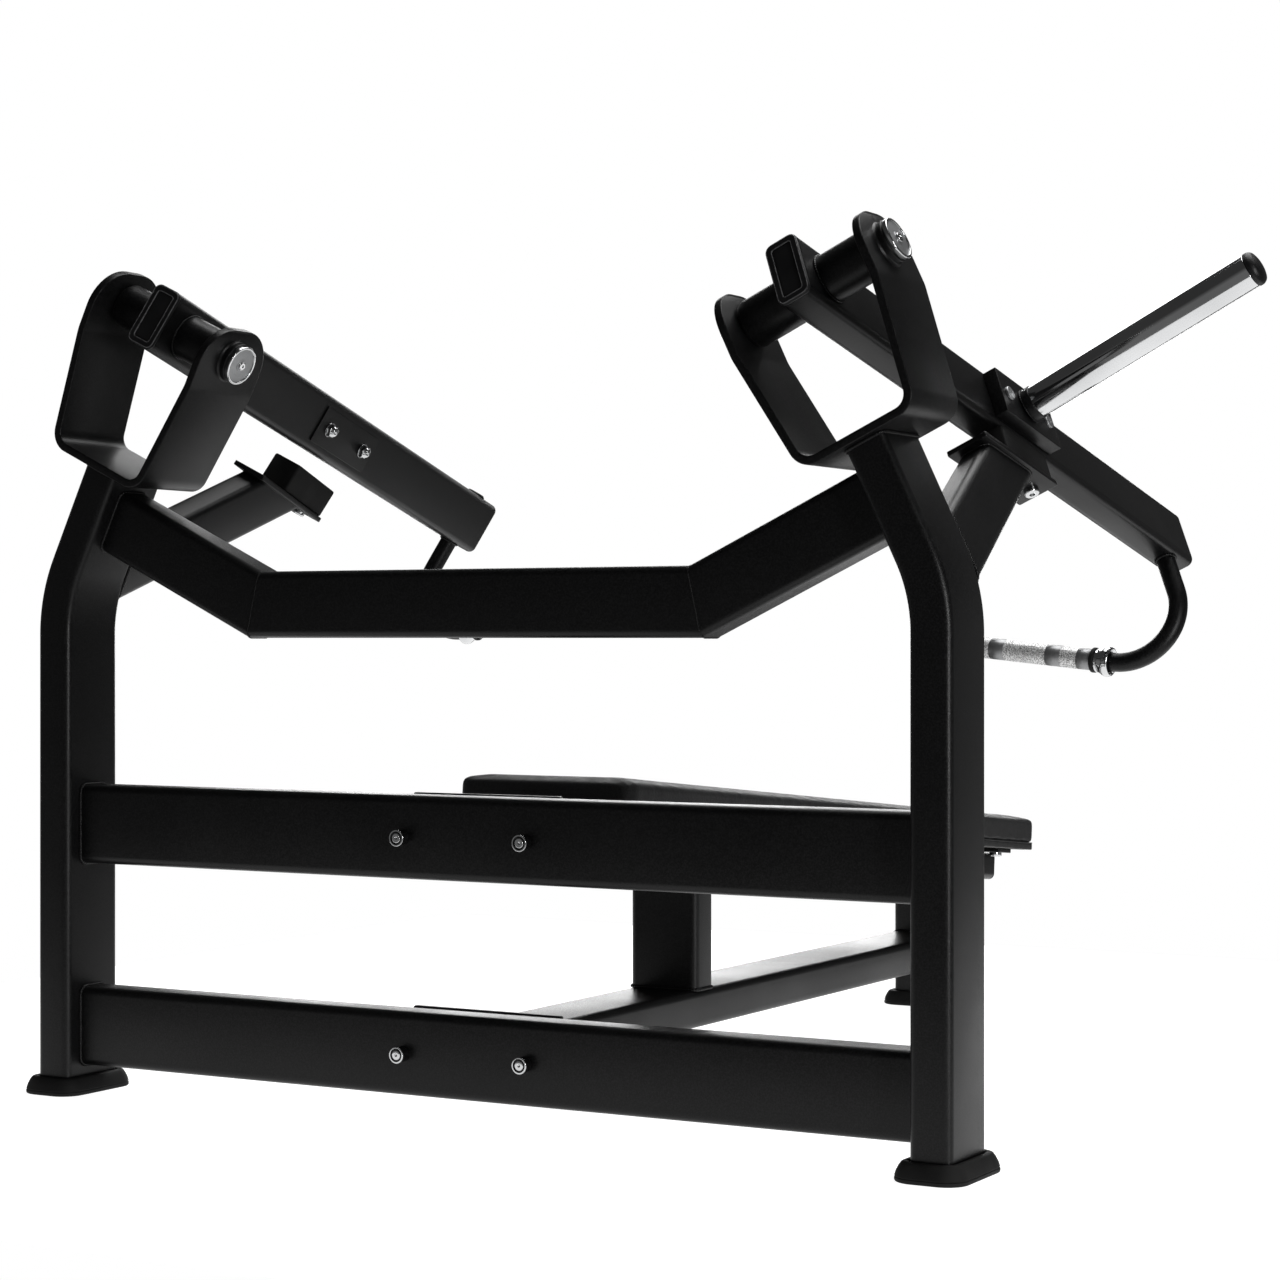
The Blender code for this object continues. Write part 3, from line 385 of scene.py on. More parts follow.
# Pieces -------------------------------------------------------------------------------------
def add_object(name, mesh, material):
    mesh.materials.clear()
    mesh.materials.append(material)
    obj = bpy.data.objects.new(name, mesh)
    bpy.context.scene.collection.objects.link(obj)
    return obj


def stand_in(node, mesh, material):
    """A finer piece in place of a CAD node."""
    obj = add_object(f"{node}_detail", mesh, material)
    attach(obj, BODY_OF[node])
    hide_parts(node)
    return obj


def trim(name, mesh, material, beside):
    """A small piece with no CAD node of its own, which moves with a node beside it."""
    obj = add_object(name, mesh, material)
    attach(obj, BODY_OF[beside])
    return obj


# Shapes -------------------------------------------------------------------------------------
def finish_mesh(bm, name, place=None, smooth=38.0):
    if place:
        bm.transform(place)
    bmesh.ops.recalc_face_normals(bm, faces=bm.faces)
    mesh = bpy.data.meshes.new(name)
    bm.to_mesh(mesh)
    bm.free()
    mesh.shade_smooth()
    mesh.set_sharp_from_angle(angle=math.radians(smooth))
    return mesh


def rounded_rectangle(width, height, radius, steps=6):
    """Outline of a rectangle centred on the origin, anticlockwise."""
    points = []
    for quarter in range(4):
        start = quarter * math.pi / 2
        sign_x = 1 if quarter in (0, 3) else -1
        sign_y = 1 if quarter in (0, 1) else -1
        centre = Vector((sign_x * (width / 2 - radius), sign_y * (height / 2 - radius)))
        for step in range(steps + 1):
            angle = start + step * math.pi / 2 / steps
            points.append(centre + radius * Vector((math.cos(angle), math.sin(angle))))
    return points


def skin(rings, name, place=None, closed="ends", smooth=38.0):
    """A mesh over rings of points. Its ends are capped, or joined to each other, or left open."""
    bm = bmesh.new()
    layer = bm.loops.layers.uv.new("UVMap")
    count = len(rings[0])
    rows = [[bm.verts.new(point) for point in ring] for ring in rings]
    pairs = list(zip(range(len(rows) - 1), range(1, len(rows))))
    if closed == "loop":
        pairs.append((len(rows) - 1, 0))
    lengths = [0.0]
    for ring, following in zip(rings, rings[1:]):
        lengths.append(lengths[-1] + (Vector(following[0]) - Vector(ring[0])).length)
    for low, high in pairs:
        for i in range(count):
            j = (i + 1) % count
            face = bm.faces.new((rows[low][i], rows[low][j], rows[high][j], rows[high][i]))
            along = (lengths[low], lengths[low], lengths[high], lengths[high])
            around = (i / count, (i + 1) / count, (i + 1) / count, i / count)
            for loop, u, v in zip(face.loops, around, along):
                loop[layer].uv = (u, v)
    if closed == "ends":
        bm.faces.new(reversed(rows[0]))
        bm.faces.new(rows[-1])
    return finish_mesh(bm, name, place, smooth)


def flat_ring(width, length, corner, z, steps=6):
    """A rounded rectangle at a height, as one ring of a skin."""
    return [Vector((p.x, p.y, z)) for p in rounded_rectangle(width, length, corner, steps)]


def path_rings(path, across, outline_at, ends=(None, None)):
    """Mitred sections along a path that bends in the plane square to the vector across."""
    runs = [(b - a).normalized() for a, b in zip(path, path[1:])]
    normals = [ends[0] or runs[0]]
    normals += [(before + after).normalized() for before, after in zip(runs, runs[1:])]
    normals.append(ends[1] or runs[-1])
    rings = []
    for i, normal in enumerate(normals):
        run = runs[min(i, len(runs) - 1)]
        up = run.cross(across)
        flat = [path[i] + across * p.x + up * p.y for p in outline_at(i)]
        rings.append([q - run * ((q - path[i]).dot(normal) / run.dot(normal)) for q in flat])
    return rings


def tube_mesh(name, path, across, size, ends=(None, None), place=None):
    """A rectangular tube with rounded corners and a wall, open at its ends."""
    path = [Vector(p) for p in path]
    outer = rounded_rectangle(*size, TUBE_CORNER)
    inner = [side - 2 * TUBE_WALL for side in size]
    bore = rounded_rectangle(*inner, TUBE_CORNER - TUBE_WALL)
    outside = path_rings(path, across, lambda i: outer, ends)
    inside = path_rings(path, across, lambda i: bore, ends)
    return skin(outside + inside[::-1], name, place, closed="loop")


def bead_mesh(name, loop, radius, place=None, spacing=0.001, wave_height=0.13):
    """A weld bead round a closed line of points, with the small waves that a weld leaves."""
    points = resample([Vector(p) for p in loop], spacing)
    count = len(points)
    centre = sum(points, Vector()) / count
    rings = []
    for i, point in enumerate(points):
        run = (points[(i + 1) % count] - points[i - 1]).normalized()
        side = (point - centre).normalized()
        up = run.cross(side).normalized()
        side = up.cross(run)
        wave = 1.0 + wave_height * (math.sin(i * math.pi / 2) + noise.noise(point * 90.0))
        ring = []
        for step in range(8):
            angle = step * math.pi / 4
            ring.append(point + (side * math.cos(angle) + up * math.sin(angle)) * radius * wave)
        rings.append(ring)
    return skin(rings, name, place, closed="loop", smooth=80.0)


def resample(points, spacing):
    """Points at an even spacing round a closed line."""
    closed = points + [points[0]]
    result = []
    carried = 0.0
    for a, b in zip(closed, closed[1:]):
        length = (b - a).length
        while carried < length:
            result.append(a.lerp(b, carried / length))
            carried += spacing
        carried -= length
    return result


def circle_points(radius, height, steps):
    angles = [2 * math.pi * i / steps for i in range(steps)]
    return [Vector((radius * math.cos(a), radius * math.sin(a), height)) for a in angles]


def turned_mesh(name, profile, place, steps=48, ring=False, smooth=30.0):
    """Profile points (radius, height) turned about Z. A radius of zero is closed with a fine cap."""
    rings = [circle_points(max(radius, 0.0002), height, steps) for radius, height in profile]
    return skin(rings, name, place, closed="loop" if ring else "ends", smooth=smooth)


def lathe(name, corners, ease, place, steps=48, ring=False, smooth=30.0):
    """A turned mesh whose profile has its corners eased."""
    return turned_mesh(name, rounded_profile(corners, ease), place, steps, ring, smooth)


def ring_section(inner, outer, start, end):
    """Profile of a plain ring, from its bore round its outer face."""
    return [(inner, start), (outer, start), (outer, end), (inner, end)]


def rounded_profile(points, radius, steps=4):
    """A profile whose inner points are rounded, as far as their neighbours allow."""
    points = [Vector((*p, 0.0)) for p in points]
    result = [points[0]]
    for before, corner, after in zip(points, points[1:], points[2:]):
        reach = min(radius, (before - corner).length * 0.45, (after - corner).length * 0.45)
        start = corner + (before - corner).normalized() * reach
        end = corner + (after - corner).normalized() * reach
        for step in range(steps + 1):
            t = step / steps
            result.append(start.lerp(corner, t).lerp(corner.lerp(end, t), t))
    result.append(points[-1])
    return [(p.x, p.y) for p in result]


def hexagon_points(width, height, steps):
    """Points of a hexagon, as many as a circle has, for a socket in a screw's head."""
    points = []
    for i in range(steps):
        angle = 2 * math.pi * i / steps
        within = (angle + math.pi / 6) % (math.pi / 3) - math.pi / 6
        radius = width / 2 / math.cos(within)
        points.append(Vector((radius * math.cos(angle), radius * math.sin(angle), height)))
    return points


def socket_head_mesh(name, radius, height, place, socket=0.008, steps=36):
    """The head of a screw: a rounded edge and a six-sided socket."""
    profile = rounded_profile([(radius, 0.0), (radius, height), (0.0, height)], 0.004)
    rings = [circle_points(r, z, steps) for r, z in profile if r > socket * 0.62]
    top = rings[-1][0].z
    rings.append(hexagon_points(socket + 0.0006, top, steps))
    rings.append(hexagon_points(socket, top - 0.0004, steps))
    rings.append(hexagon_points(socket, top - height * 0.45, steps))
    rings.append(circle_points(0.0005, top - height * 0.45 - 0.001, steps))
    return skin(rings, name, place)


def slab_mesh(name, size, radius, edge, place, steps=5):
    """A plate with rounded corners in plan and eased edges."""
    width, length, height = size
    rings = []
    for step in range(4):
        angle = step * math.pi / 6
        inset = edge * (1 - math.sin(angle))
        rings.append((inset, -height / 2 + edge * (1 - math.cos(angle))))
    rings += [(inset, -z) for inset, z in reversed(rings)]
    loops = []
    for inset, z in rings:
        corner = max(radius - inset, 0.0003)
        loops.append(flat_ring(width - 2 * inset, length - 2 * inset, corner, z, steps))
    return skin(loops, name, place)


def rim_loop(centre, across, up, size):
    """Points just outside a rectangular tube's outline, in its own plane."""
    proud = 0.0004
    outline = rounded_rectangle(size[0] + 2 * proud, size[1] + 2 * proud, TUBE_CORNER + proud, 3)
    return [centre + across * p.x + up * p.y for p in outline]


def circle_loop(radius, place):
    return [place @ p for p in circle_points(radius, 0.0, 48)]


def weld(name, loop, radius, beside, place=None):
    trim(f"weld_{name}", bead_mesh("weld", loop, radius, place), POWDER_COAT, beside)


# Frames of the two sides --------------------------------------------------------------------
class Side:
    """The leaning axes at one pivot, and those of the arm on its stop and as it is held."""

    def __init__(self, name, sign):
        joint = JOINTS[f"{name}_arm_hinge"]
        axis = Vector(joint["axis"])
        self.name = name
        self.sign = sign
        self.lean = math.atan2(abs(axis.z), axis.x)
        self.pivot = Vector(joint["pos_m"])
        self.yoke = Matrix.Translation(self.pivot) @ Matrix.Rotation(-sign * self.lean, 4, "Y")
        lifted = math.radians(joint["range_deg"][0])
        self.rest = self.yoke @ Matrix.Rotation(-ARM_PITCH, 4, "X")
        self.arm = self.yoke @ Matrix.Rotation(-ARM_PITCH - lifted, 4, "X")
        self.outward = Matrix.Rotation(sign * math.pi / 2, 4, "Y")
        self.inward = Matrix.Rotation(-sign * math.pi / 2, 4, "Y")


def at(x, y, z):
    return Matrix.Translation((x, y, z))


def tip_to(direction):
    """Rotation that takes +Z to a direction."""
    return Vector(direction).to_track_quat("Z", "Y").to_matrix().to_4x4()


# Uprights, feet and yokes -------------------------------------------------------------------
def upright_path(side):
    """Centre line of the right upright in X and Z, from the foot to the yoke."""
    low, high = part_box(f"upright_{side.name}")
    x = max(abs(low.x), abs(high.x)) - UPRIGHT_WIDTH / 2
    pivot = Vector((abs(side.pivot.x), 0.0, side.pivot.z))
    along = Vector((math.sin(side.lean), 0.0, -math.cos(side.lean)))
    corner = pivot + along * ((x - pivot.x) / math.sin(side.lean))
    centre = Vector((x - BEND_RADIUS, 0.0, corner.z - BEND_RADIUS * math.tan(side.lean / 2)))
    steps = 20
    arc = []
    for step in range(steps + 1):
        angle = side.lean * step / steps
        arc.append(centre + BEND_RADIUS * Vector((math.cos(angle), 0.0, math.sin(angle))))
    return [Vector((x, 0.0, low.z)), *arc, pivot + along * (YOKE_BASE + GAP)]


def add_upright(side):
    path = [Vector((side.sign * p.x, side.pivot.y, p.z)) for p in upright_path(side)]
    size = (UPRIGHT_DEPTH, UPRIGHT_WIDTH)
    name = f"upright_{side.name}"
    stand_in(name, tube_mesh(name, path, FORWARD, size), POWDER_COAT)
    run = (path[-1] - path[-2]).normalized()
    loop = rim_loop(path[-1] - run * 0.0015, FORWARD, run.cross(FORWARD), size)
    weld(f"yoke_{side.name}", loop, WELD, name)


def add_foot(node, along_x, along_y):
    """Flared rubber boot with a lip round its top and a groove above the floor."""
    low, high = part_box(node)
    centre = (low + high) / 2
    flare = ((high.x - low.x) - along_x) / 2
    steps = (
        (0.0, flare - 0.0018),
        (0.0008, flare - 0.0005),
        (0.0022, flare),
        (0.0052, flare),
        (0.0060, flare - 0.0012),
        (0.0068, flare - 0.0012),
        (0.0078, flare - 0.0004),
        (0.0140, flare - 0.0024),
        (0.0200, flare - 0.0056),
        (0.0232, flare - 0.0078),
        (0.0250, flare - 0.0094),
        (0.0260, flare - 0.0118),
        (0.0260, 0.0042),
        (0.0252, 0.0030),
        (0.0215, 0.0014),
        (0.0205, GAP),
        (0.0102, GAP),
    )
    rings = []
    for z, margin in steps:
        size = (along_x + 2 * margin, along_y + 2 * margin)
        rings.append(flat_ring(*size, TUBE_CORNER + margin, z, 8))
    place = at(centre.x, centre.y, 0.0)
    stand_in(node, skin(rings, node, place, smooth=50.0), RUBBER)


def yoke_path():
    """Middle line of the strap, from the top of one cheek round to the top of the other."""
    half = YOKE_THICKNESS / 2
    top = YOKE_HALF_TOP - half
    base = YOKE_HALF_BASE - half
    floor = -YOKE_BASE + half
    slope = math.atan2(top - base, -YOKE_CREASE - floor)
    inset = YOKE_CORNER * math.tan(math.pi / 4 - slope / 2)
    centre = Vector((base - inset, 0.0, floor + YOKE_CORNER))
    rounding = [YOKE_TOP_CORNER * (1 - math.cos(step * math.pi / 24)) for step in range(13)]
    side = [Vector((top, 0.0, YOKE_TOP - drop)) for drop in rounding]
    for step in range(5):
        t = step / 4
        side.append(Vector((top - 0.0007 * t * t, 0.0, 0.010 * (1 - t) - YOKE_CREASE)))
    for step in range(10):
        angle = -slope - (math.pi / 2 - slope) * step / 9
        side.append(centre + YOKE_CORNER * Vector((math.cos(angle), 0.0, math.sin(angle))))
    mirrored = [Vector((-p.x, 0.0, p.z)) for p in reversed(side)]
    return side + mirrored


def cheek_width(height):
    """The strap's width at a height, rounded off at the top of a cheek."""
    below = YOKE_TOP - height
    if below >= YOKE_TOP_CORNER:
        return YOKE_WIDTH
    rest = min(YOKE_TOP_CORNER - below, YOKE_TOP_CORNER)
    return YOKE_WIDTH - 2 * (YOKE_TOP_CORNER - math.sqrt(YOKE_TOP_CORNER**2 - rest**2))


def add_yoke(side):
    path = yoke_path()

    def outline(i):
        return rounded_rectangle(cheek_width(path[i].z), YOKE_THICKNESS, 0.0018, 3)

    rings = path_rings(path, FORWARD, outline)
    name = f"yoke_{side.name}"
    stand_in(name, skin(rings, name, side.yoke, smooth=32.0), POWDER_COAT)
    radius = AXLE_HEAD_RADIUS + 0.001
    corners = [(radius + 0.0025, 0.0), (radius, 0.0025), (radius, BOSS_DEPTH), (0.0, BOSS_DEPTH)]
    for end, turn in (("outer", side.outward), ("inner", side.inward)):
        boss = lathe("boss", corners, 0.0015, side.yoke @ turn @ at(0.0, 0.0, YOKE_HALF_TOP))
        trim(f"yoke_boss_{side.name}_{end}", boss, POWDER_COAT, name)


def add_axle(side):
    """Chrome rim, turned face and socket screw at both ends of the axle."""
    height = AXLE_HEAD_HEIGHT
    radius = AXLE_HEAD_RADIUS
    well = radius - 0.0042
    rim = [(radius - 0.010, 0.0), (radius, 0.0), (radius, height), (well, height), (well, 0.005)]
    face = [(well + 0.0004, 0.0), (well + 0.0004, 0.0062), (0.0, 0.0062)]
    seat = [(0.0095, 0.006), (0.0095, 0.0070), (0.0, 0.0070)]
    for kind, turn in (("cap", side.outward), ("pin", side.inward)):
        node = f"axle_{kind}_{side.name}"
        place = side.yoke @ turn @ at(0.0, 0.0, YOKE_HALF_TOP + BOSS_DEPTH + GAP)
        stand_in(node, lathe(node, rim, 0.0016, place, 64), CHROME)
        trim(f"{node}_face", lathe("face", face, 0.0006, place, 64), STEEL, node)
        trim(f"{node}_washer", lathe("washer", seat, 0.0004, place), STEEL, node)
        head = socket_head_mesh("screw", 0.0068, 0.0034, place @ at(0.0, 0.0, 0.0066), 0.0042)
        trim(f"{node}_screw", head, CHROME, node)


# Arm stops ----------------------------------------------------------------------------------
def stop_level():
    """Middle of the stop's plate, across the resting arm."""
    return -(ARM_HEIGHT / 2 + BUMPER_HEIGHT + 2 * GAP) - STOP_PLATE_THICKNESS / 2


def add_brace(side):
    """Tube from the yoke up to the stop's plate, cut square to both and welded to them."""
    start = Vector((0.0, UPRIGHT_DEPTH / 2 + GAP, BRACE_FOOT))
    rise = Vector((0.0, math.cos(BRACE_RISE), math.sin(BRACE_RISE)))
    plate_normal = Vector((0.0, math.sin(ARM_PITCH), math.cos(ARM_PITCH)))
    reach = (stop_level() - start.dot(plate_normal)) / rise.dot(plate_normal)
    node = f"stop_brace_{side.name}"
    size = (BRACE_WIDTH, BRACE_HEIGHT)
    ends = (FORWARD, plate_normal)
    path = [start, start + rise * reach]
    stand_in(node, tube_mesh(node, path, ACROSS, size, ends, side.yoke), POWDER_COAT)
    rings = path_rings(path, ACROSS, lambda i: rounded_rectangle(*size, TUBE_CORNER, 3), ends)
    for label, ring, shift in (("foot", rings[0], 0.001), ("top", rings[1], -0.0052)):
        loop = [p + rise * shift for p in ring]
        weld(f"brace_{label}_{side.name}", loop, FINE_WELD, node, side.yoke)


def add_stop(side):
    """Plate on the brace, and the rubber bumper that is bolted to it from below."""
    size = (STOP_PLATE_WIDTH, STOP_PLATE_FRONT - STOP_PLATE_REAR, STOP_PLATE_THICKNESS)
    middle = (STOP_PLATE_FRONT + STOP_PLATE_REAR) / 2
    plate = slab_mesh("plate", size, 0.003, 0.0012, side.rest @ at(0.0, middle, stop_level()))
    trim(f"stop_plate_{side.name}", plate, POWDER_COAT, f"stop_brace_{side.name}")

    z = -ARM_HEIGHT / 2 - GAP - BUMPER_HEIGHT / 2
    size = (BUMPER_WIDTH, BUMPER_LENGTH, BUMPER_HEIGHT)
    node = f"stop_bumper_{side.name}"
    stand_in(node, slab_mesh(node, size, 0.004, 0.0035, side.rest @ at(0.0, STOP_Y, z)), RUBBER)

    under = stop_level() - STOP_PLATE_THICKNESS / 2 - GAP
    bolt_y = STOP_Y + BUMPER_LENGTH / 2 - 0.023
    place = side.rest @ at(0.0, bolt_y, under) @ TURN_OVER
    node = f"stop_bolt_{side.name}"
    stand_in(node, socket_head_mesh(node, BOLT_HEAD_RADIUS, LOW_HEAD_HEIGHT, place), CHROME)


# Crossbeams and their bolts -----------------------------------------------------------------
def add_straight_beam(node):
    """Level crossbeam between the uprights, welded at both ends."""
    low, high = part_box(node)
    centre = (low + high) / 2
    half = (high.x - low.x) / 2
    size = (BEAM_DEPTH, high.z - low.z)
    path = [(-half, centre.y, centre.z), (half, centre.y, centre.z)]
    stand_in(node, tube_mesh(node, path, FORWARD, size), POWDER_COAT)
    for name, sign in SIDES:
        end = Vector((sign * (half - 0.001), centre.y, centre.z))
        weld(f"{node}_{name}", rim_loop(end, FORWARD, UP, size), FINE_WELD, node)


def add_upper_beam(right):
    """Level in the middle and square to the leaning uprights, with a weld over each mitre."""
    node = "upper_crossbeam"
    outward = Vector((math.cos(right.lean), 0.0, math.sin(right.lean)))
    corner = UPPER_BEAM_CORNER + Vector((0.0, right.pivot.y, 0.0))
    reach = (right.pivot - corner).dot(outward) - UPRIGHT_WIDTH / 2 - GAP
    half = [corner, corner + outward * reach]
    path = [Vector((-p.x, p.y, p.z)) for p in reversed(half)] + half
    size = (BEAM_DEPTH, UPPER_BEAM_HEIGHT)
    stand_in(node, tube_mesh(node, path, FORWARD, size), POWDER_COAT)
    rings = path_rings(path, FORWARD, lambda i: rounded_rectangle(*size, TUBE_CORNER, 3))
    labels = ("end_left", "mitre_left", "mitre_right", "end_right")
    for label, ring in zip(labels, rings):
        weld(f"upper_{label}", ring, FINE_WELD if "end" in label else MITRE_WELD, node)


def add_nut(node, place):
    """Washer and domed nut on the far face of a bolted joint."""
    washer = lathe("washer", ring_section(0.0, 0.0125, 0.0, 0.0022), 0.0006, place)
    trim(f"{node}_washer", washer, CHROME, node)
    rings = [hexagon_points(0.019, 0.0018, 36), hexagon_points(0.019, 0.0086, 36)]
    rings += [circle_points(0.0088, 0.0094, 36), circle_points(0.0072, 0.0134, 36)]
    rings += [circle_points(0.0042, 0.0154, 36), circle_points(0.0004, 0.0159, 36)]
    trim(f"{node}_nut", skin(rings, "nut", place), CHROME, node)


def add_tall_head(node, place, beside):
    """Dark head with a bright rim and a bright socket in the middle of its face; its dark body is a
    painted reflection of the black beam in a chrome side.
    """
    radius = BOLT_HEAD_RADIUS + 0.0005
    height = BOLT_HEAD_HEIGHT
    side = radius - 0.001
    face = height - 0.002
    # Painted reflection: the head's side is black powder coat, for the dark beam mirrored in chrome.
    body = lathe("head", [(side, 0.0), (side, face), (0.0, face)], 0.0008, place, 40)
    trim(f"{node}_head", body, POWDER_COAT, beside)
    low = height - 0.0034
    section = ring_section(radius - 0.0022, radius, low, height)
    rim = lathe("rim", section, 0.0011, place, ring=True, smooth=60.0)
    trim(f"{node}_rim", rim, CHROME, node)
    centre = socket_head_mesh(node, 0.0070, 0.0024, place @ at(0.0, 0.0, low + 0.0010), 0.0040)
    stand_in(node, centre, CHROME)


def add_beam_bolts():
    back = BEAM_DEPTH + FLANGE_THICKNESS + 3 * GAP
    for level in ("lower", "middle"):
        low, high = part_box(f"{level}_crossbeam")
        middle = (low.z + high.z) / 2
        for name, sign in SIDES:
            place = at(sign * BEAM_BOLT_X, low.y - GAP, middle) @ QUARTER_X
            node = f"{level}_beam_bolt_{name}"
            add_tall_head(node, place, f"{level}_crossbeam")
            add_nut(node, place @ at(0.0, 0.0, -back) @ TURN_OVER)


# Bench --------------------------------------------------------------------------------------
class Bench:
    """Places along the sloping pad and below its top, and the section of the frame under it."""

    def __init__(self):
        low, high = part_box("pad_cushion")
        self.turn = Matrix.Rotation(-PAD_SLOPE, 4, "X")
        self.place = Matrix.Translation((low + high) / 2) @ self.turn
        self.top = self.place @ at(0.0, -PAD_LENGTH / 2, CUSHION_THICKNESS / 2)
        low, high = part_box("front_post")
        self.section = (high.x - low.x, high.y - low.y)
        self.flange_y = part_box("lower_crossbeam")[1].y + GAP + FLANGE_THICKNESS / 2

    def along(self, y, below, x=0.0):
        return self.top @ at(x, y, -below)


def add_spine(bench):
    """Flat tube along the floor, welded to its flange and to the foot of the front post."""
    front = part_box("front_post")[0].y
    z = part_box("rear_post")[0].z - GAP - bench.section[1] / 2
    path = [(0.0, bench.flange_y, z), (0.0, front - GAP, z)]
    mesh = tube_mesh("bench_spine", path, ACROSS, bench.section)
    stand_in("bench_spine", mesh, POWDER_COAT)
    for label, y in (("front", front - 0.001), ("flange", bench.flange_y + 0.0045)):
        loop = rim_loop(Vector((0.0, y, z)), ACROSS, UP, bench.section)
        weld(f"spine_{label}", loop, WELD, "bench_spine")


def add_flanges(bench):
    """Plates that bolt the spine and the pad rail to the crossbeams."""
    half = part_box("bench_spine")[1].x
    for node, beam in (("bench_spine", "lower_crossbeam"), ("pad_rail", "middle_crossbeam")):
        low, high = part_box(beam)
        size = (2 * half, high.z - low.z + 2 * FLANGE_LIP, FLANGE_THICKNESS)
        place = at(0.0, bench.flange_y, (low.z + high.z) / 2) @ QUARTER_X
        trim(f"{node}_flange", slab_mesh("flange", size, 0.004, 0.0012, place), POWDER_COAT, node)


def add_posts(bench):
    """Both bench posts, cut to the rail's slope at their tops and welded to it."""
    slope = Vector((0.0, math.sin(PAD_SLOPE), math.cos(PAD_SLOPE)))
    rise = math.tan(PAD_SLOPE)
    for node in ("rear_post", "front_post"):
        low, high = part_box(node)
        y = (low.y + high.y) / 2
        top = high.z - bench.section[1] / 2 * rise
        path = [(0.0, y, low.z), (0.0, y, top)]
        stand_in(node, tube_mesh(node, path, ACROSS, bench.section, (None, slope)), POWDER_COAT)
        loop = rim_loop(Vector((0.0, y, top - 0.001)), ACROSS, FORWARD, bench.section)
        weld(f"{node}_top", [p - UP * ((p.y - y) * rise) for p in loop], WELD, node)
    low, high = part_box("rear_post")
    foot = Vector((0.0, (low.y + high.y) / 2, low.z + 0.001))
    loop = rim_loop(foot, ACROSS, FORWARD, bench.section)
    weld("rear_post_foot", loop, WELD, "rear_post")


def add_rail(bench):
    """Sloping tube under the pad, with its cross plates and end plug."""
    below = PAD_THICKNESS + GAP + CROSS_PLATE_THICKNESS + RAIL_HEIGHT / 2 - 0.0005
    cap_low, cap_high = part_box("rail_end_cap")
    level = bench.top.inverted()
    rear = level @ Vector((0.0, bench.flange_y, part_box("middle_crossbeam")[0].z))
    front = level @ Vector((0.0, cap_high.y - PLUG_THICKNESS, cap_low.z))
    start = bench.along(rear.y, below).translation
    end = bench.along(front.y, below).translation
    section = (bench.section[0], RAIL_HEIGHT)
    mesh = tube_mesh("pad_rail", [start, end], ACROSS, section, (FORWARD, None))
    stand_in("pad_rail", mesh, POWDER_COAT)
    size = (2 * CROSS_PLATE_HALF, CROSS_PLATE_LENGTH, CROSS_PLATE_THICKNESS)
    for number, y in enumerate((REAR_CROSS_PLATE_Y, PAD_BOLT_Y)):
        place = bench.along(y, PAD_THICKNESS + GAP + CROSS_PLATE_THICKNESS / 2)
        plate = slab_mesh("plate", size, 0.004, 0.0012, place)
        trim(f"cross_plate_{number}", plate, POWDER_COAT, "pad_rail")
    facing_out = bench.turn @ Matrix.Rotation(-math.pi / 2, 4, "X")
    add_plug("rail_end_cap", section, Matrix.Translation(end) @ facing_out)


def add_pad_bolts(bench):
    under = PAD_THICKNESS + CROSS_PLATE_THICKNESS + 2 * GAP
    for name, sign in SIDES:
        place = bench.along(PAD_BOLT_Y, under, sign * PAD_BOLT_X) @ TURN_OVER
        node = f"pad_bolt_{name}"
        stand_in(node, socket_head_mesh(node, BOLT_HEAD_RADIUS, LOW_HEAD_HEIGHT, place), CHROME)


def add_plug(node, size, place):
    """End plug: a rounded face with a framed panel sunk in its middle."""
    width, height = size
    steps = (
        (-0.012, 0.005, 0.007),
        (GAP, 0.005, 0.007),
        (GAP, 0.0003, 0.0105),
        (0.0012, 0.0, 0.011),
        (0.0036, 0.0, 0.011),
        (0.0052, 0.0006, 0.0105),
        (PLUG_THICKNESS, 0.0022, 0.009),
        (PLUG_THICKNESS, 0.0088, 0.0045),
        (0.0056, 0.0093, 0.0042),
        (0.0040, 0.0096, 0.0040),
        (0.0036, 0.0100, 0.0036),
        (0.0036, 0.0112, 0.0028),
        (0.0044, 0.0118, 0.0024),
        (0.0044, 0.0170, 0.0018),
    )
    rings = []
    for z, inset, corner in steps:
        rings.append(flat_ring(width - 2 * inset, height - 2 * inset, corner, z, 5))
    stand_in(node, skin(rings, node, place, smooth=25.0), PLASTIC)
    # Paler ribs round the edge and the panel: a painted highlight along the plug's lines.
    for label, inset, corner in (("edge", 0.0018, 0.0095), ("panel", 0.0094, 0.0042)):
        loop = flat_ring(width - 2 * inset, height - 2 * inset, corner, 0.0056, 4)
        rib = bead_mesh("rib", loop, 0.0008, place, 0.0015, 0.0)
        trim(f"{node}_{label}", rib, PAINTED_HIGHLIGHT_RIB, node)


def cover_mesh(bench):
    """The cushion's cover before it is filled: flat below, with a rounded upper edge."""
    width = PAD_WIDTH - PAD_EASE
    length = PAD_LENGTH - PAD_EASE
    half = (CUSHION_THICKNESS - PAD_EASE) / 2
    profile = [(0.0025, -half), (0.0, -half + 0.0025)]
    for step in range(9):
        angle = step * math.pi / 16
        z = half - PAD_EDGE * (1 - math.sin(angle))
        profile.append((PAD_EDGE * (1 - math.cos(angle)), z))
    rings = []
    for inset, z in profile:
        corner = PAD_CORNER - inset * 0.9
        rings.append(flat_ring(width - 2 * inset, length - 2 * inset, corner, z))
    return skin(rings, "cover", bench.place)


def is_stretched(point):
    """Whether a point of the cover is held flat: on its underside, or on its sides."""
    beyond = max(abs(point.x) - PAD_WIDTH / 2, abs(point.y) - PAD_LENGTH / 2)
    return beyond > -0.004 or point.z < -CUSHION_THICKNESS / 2 + 0.004


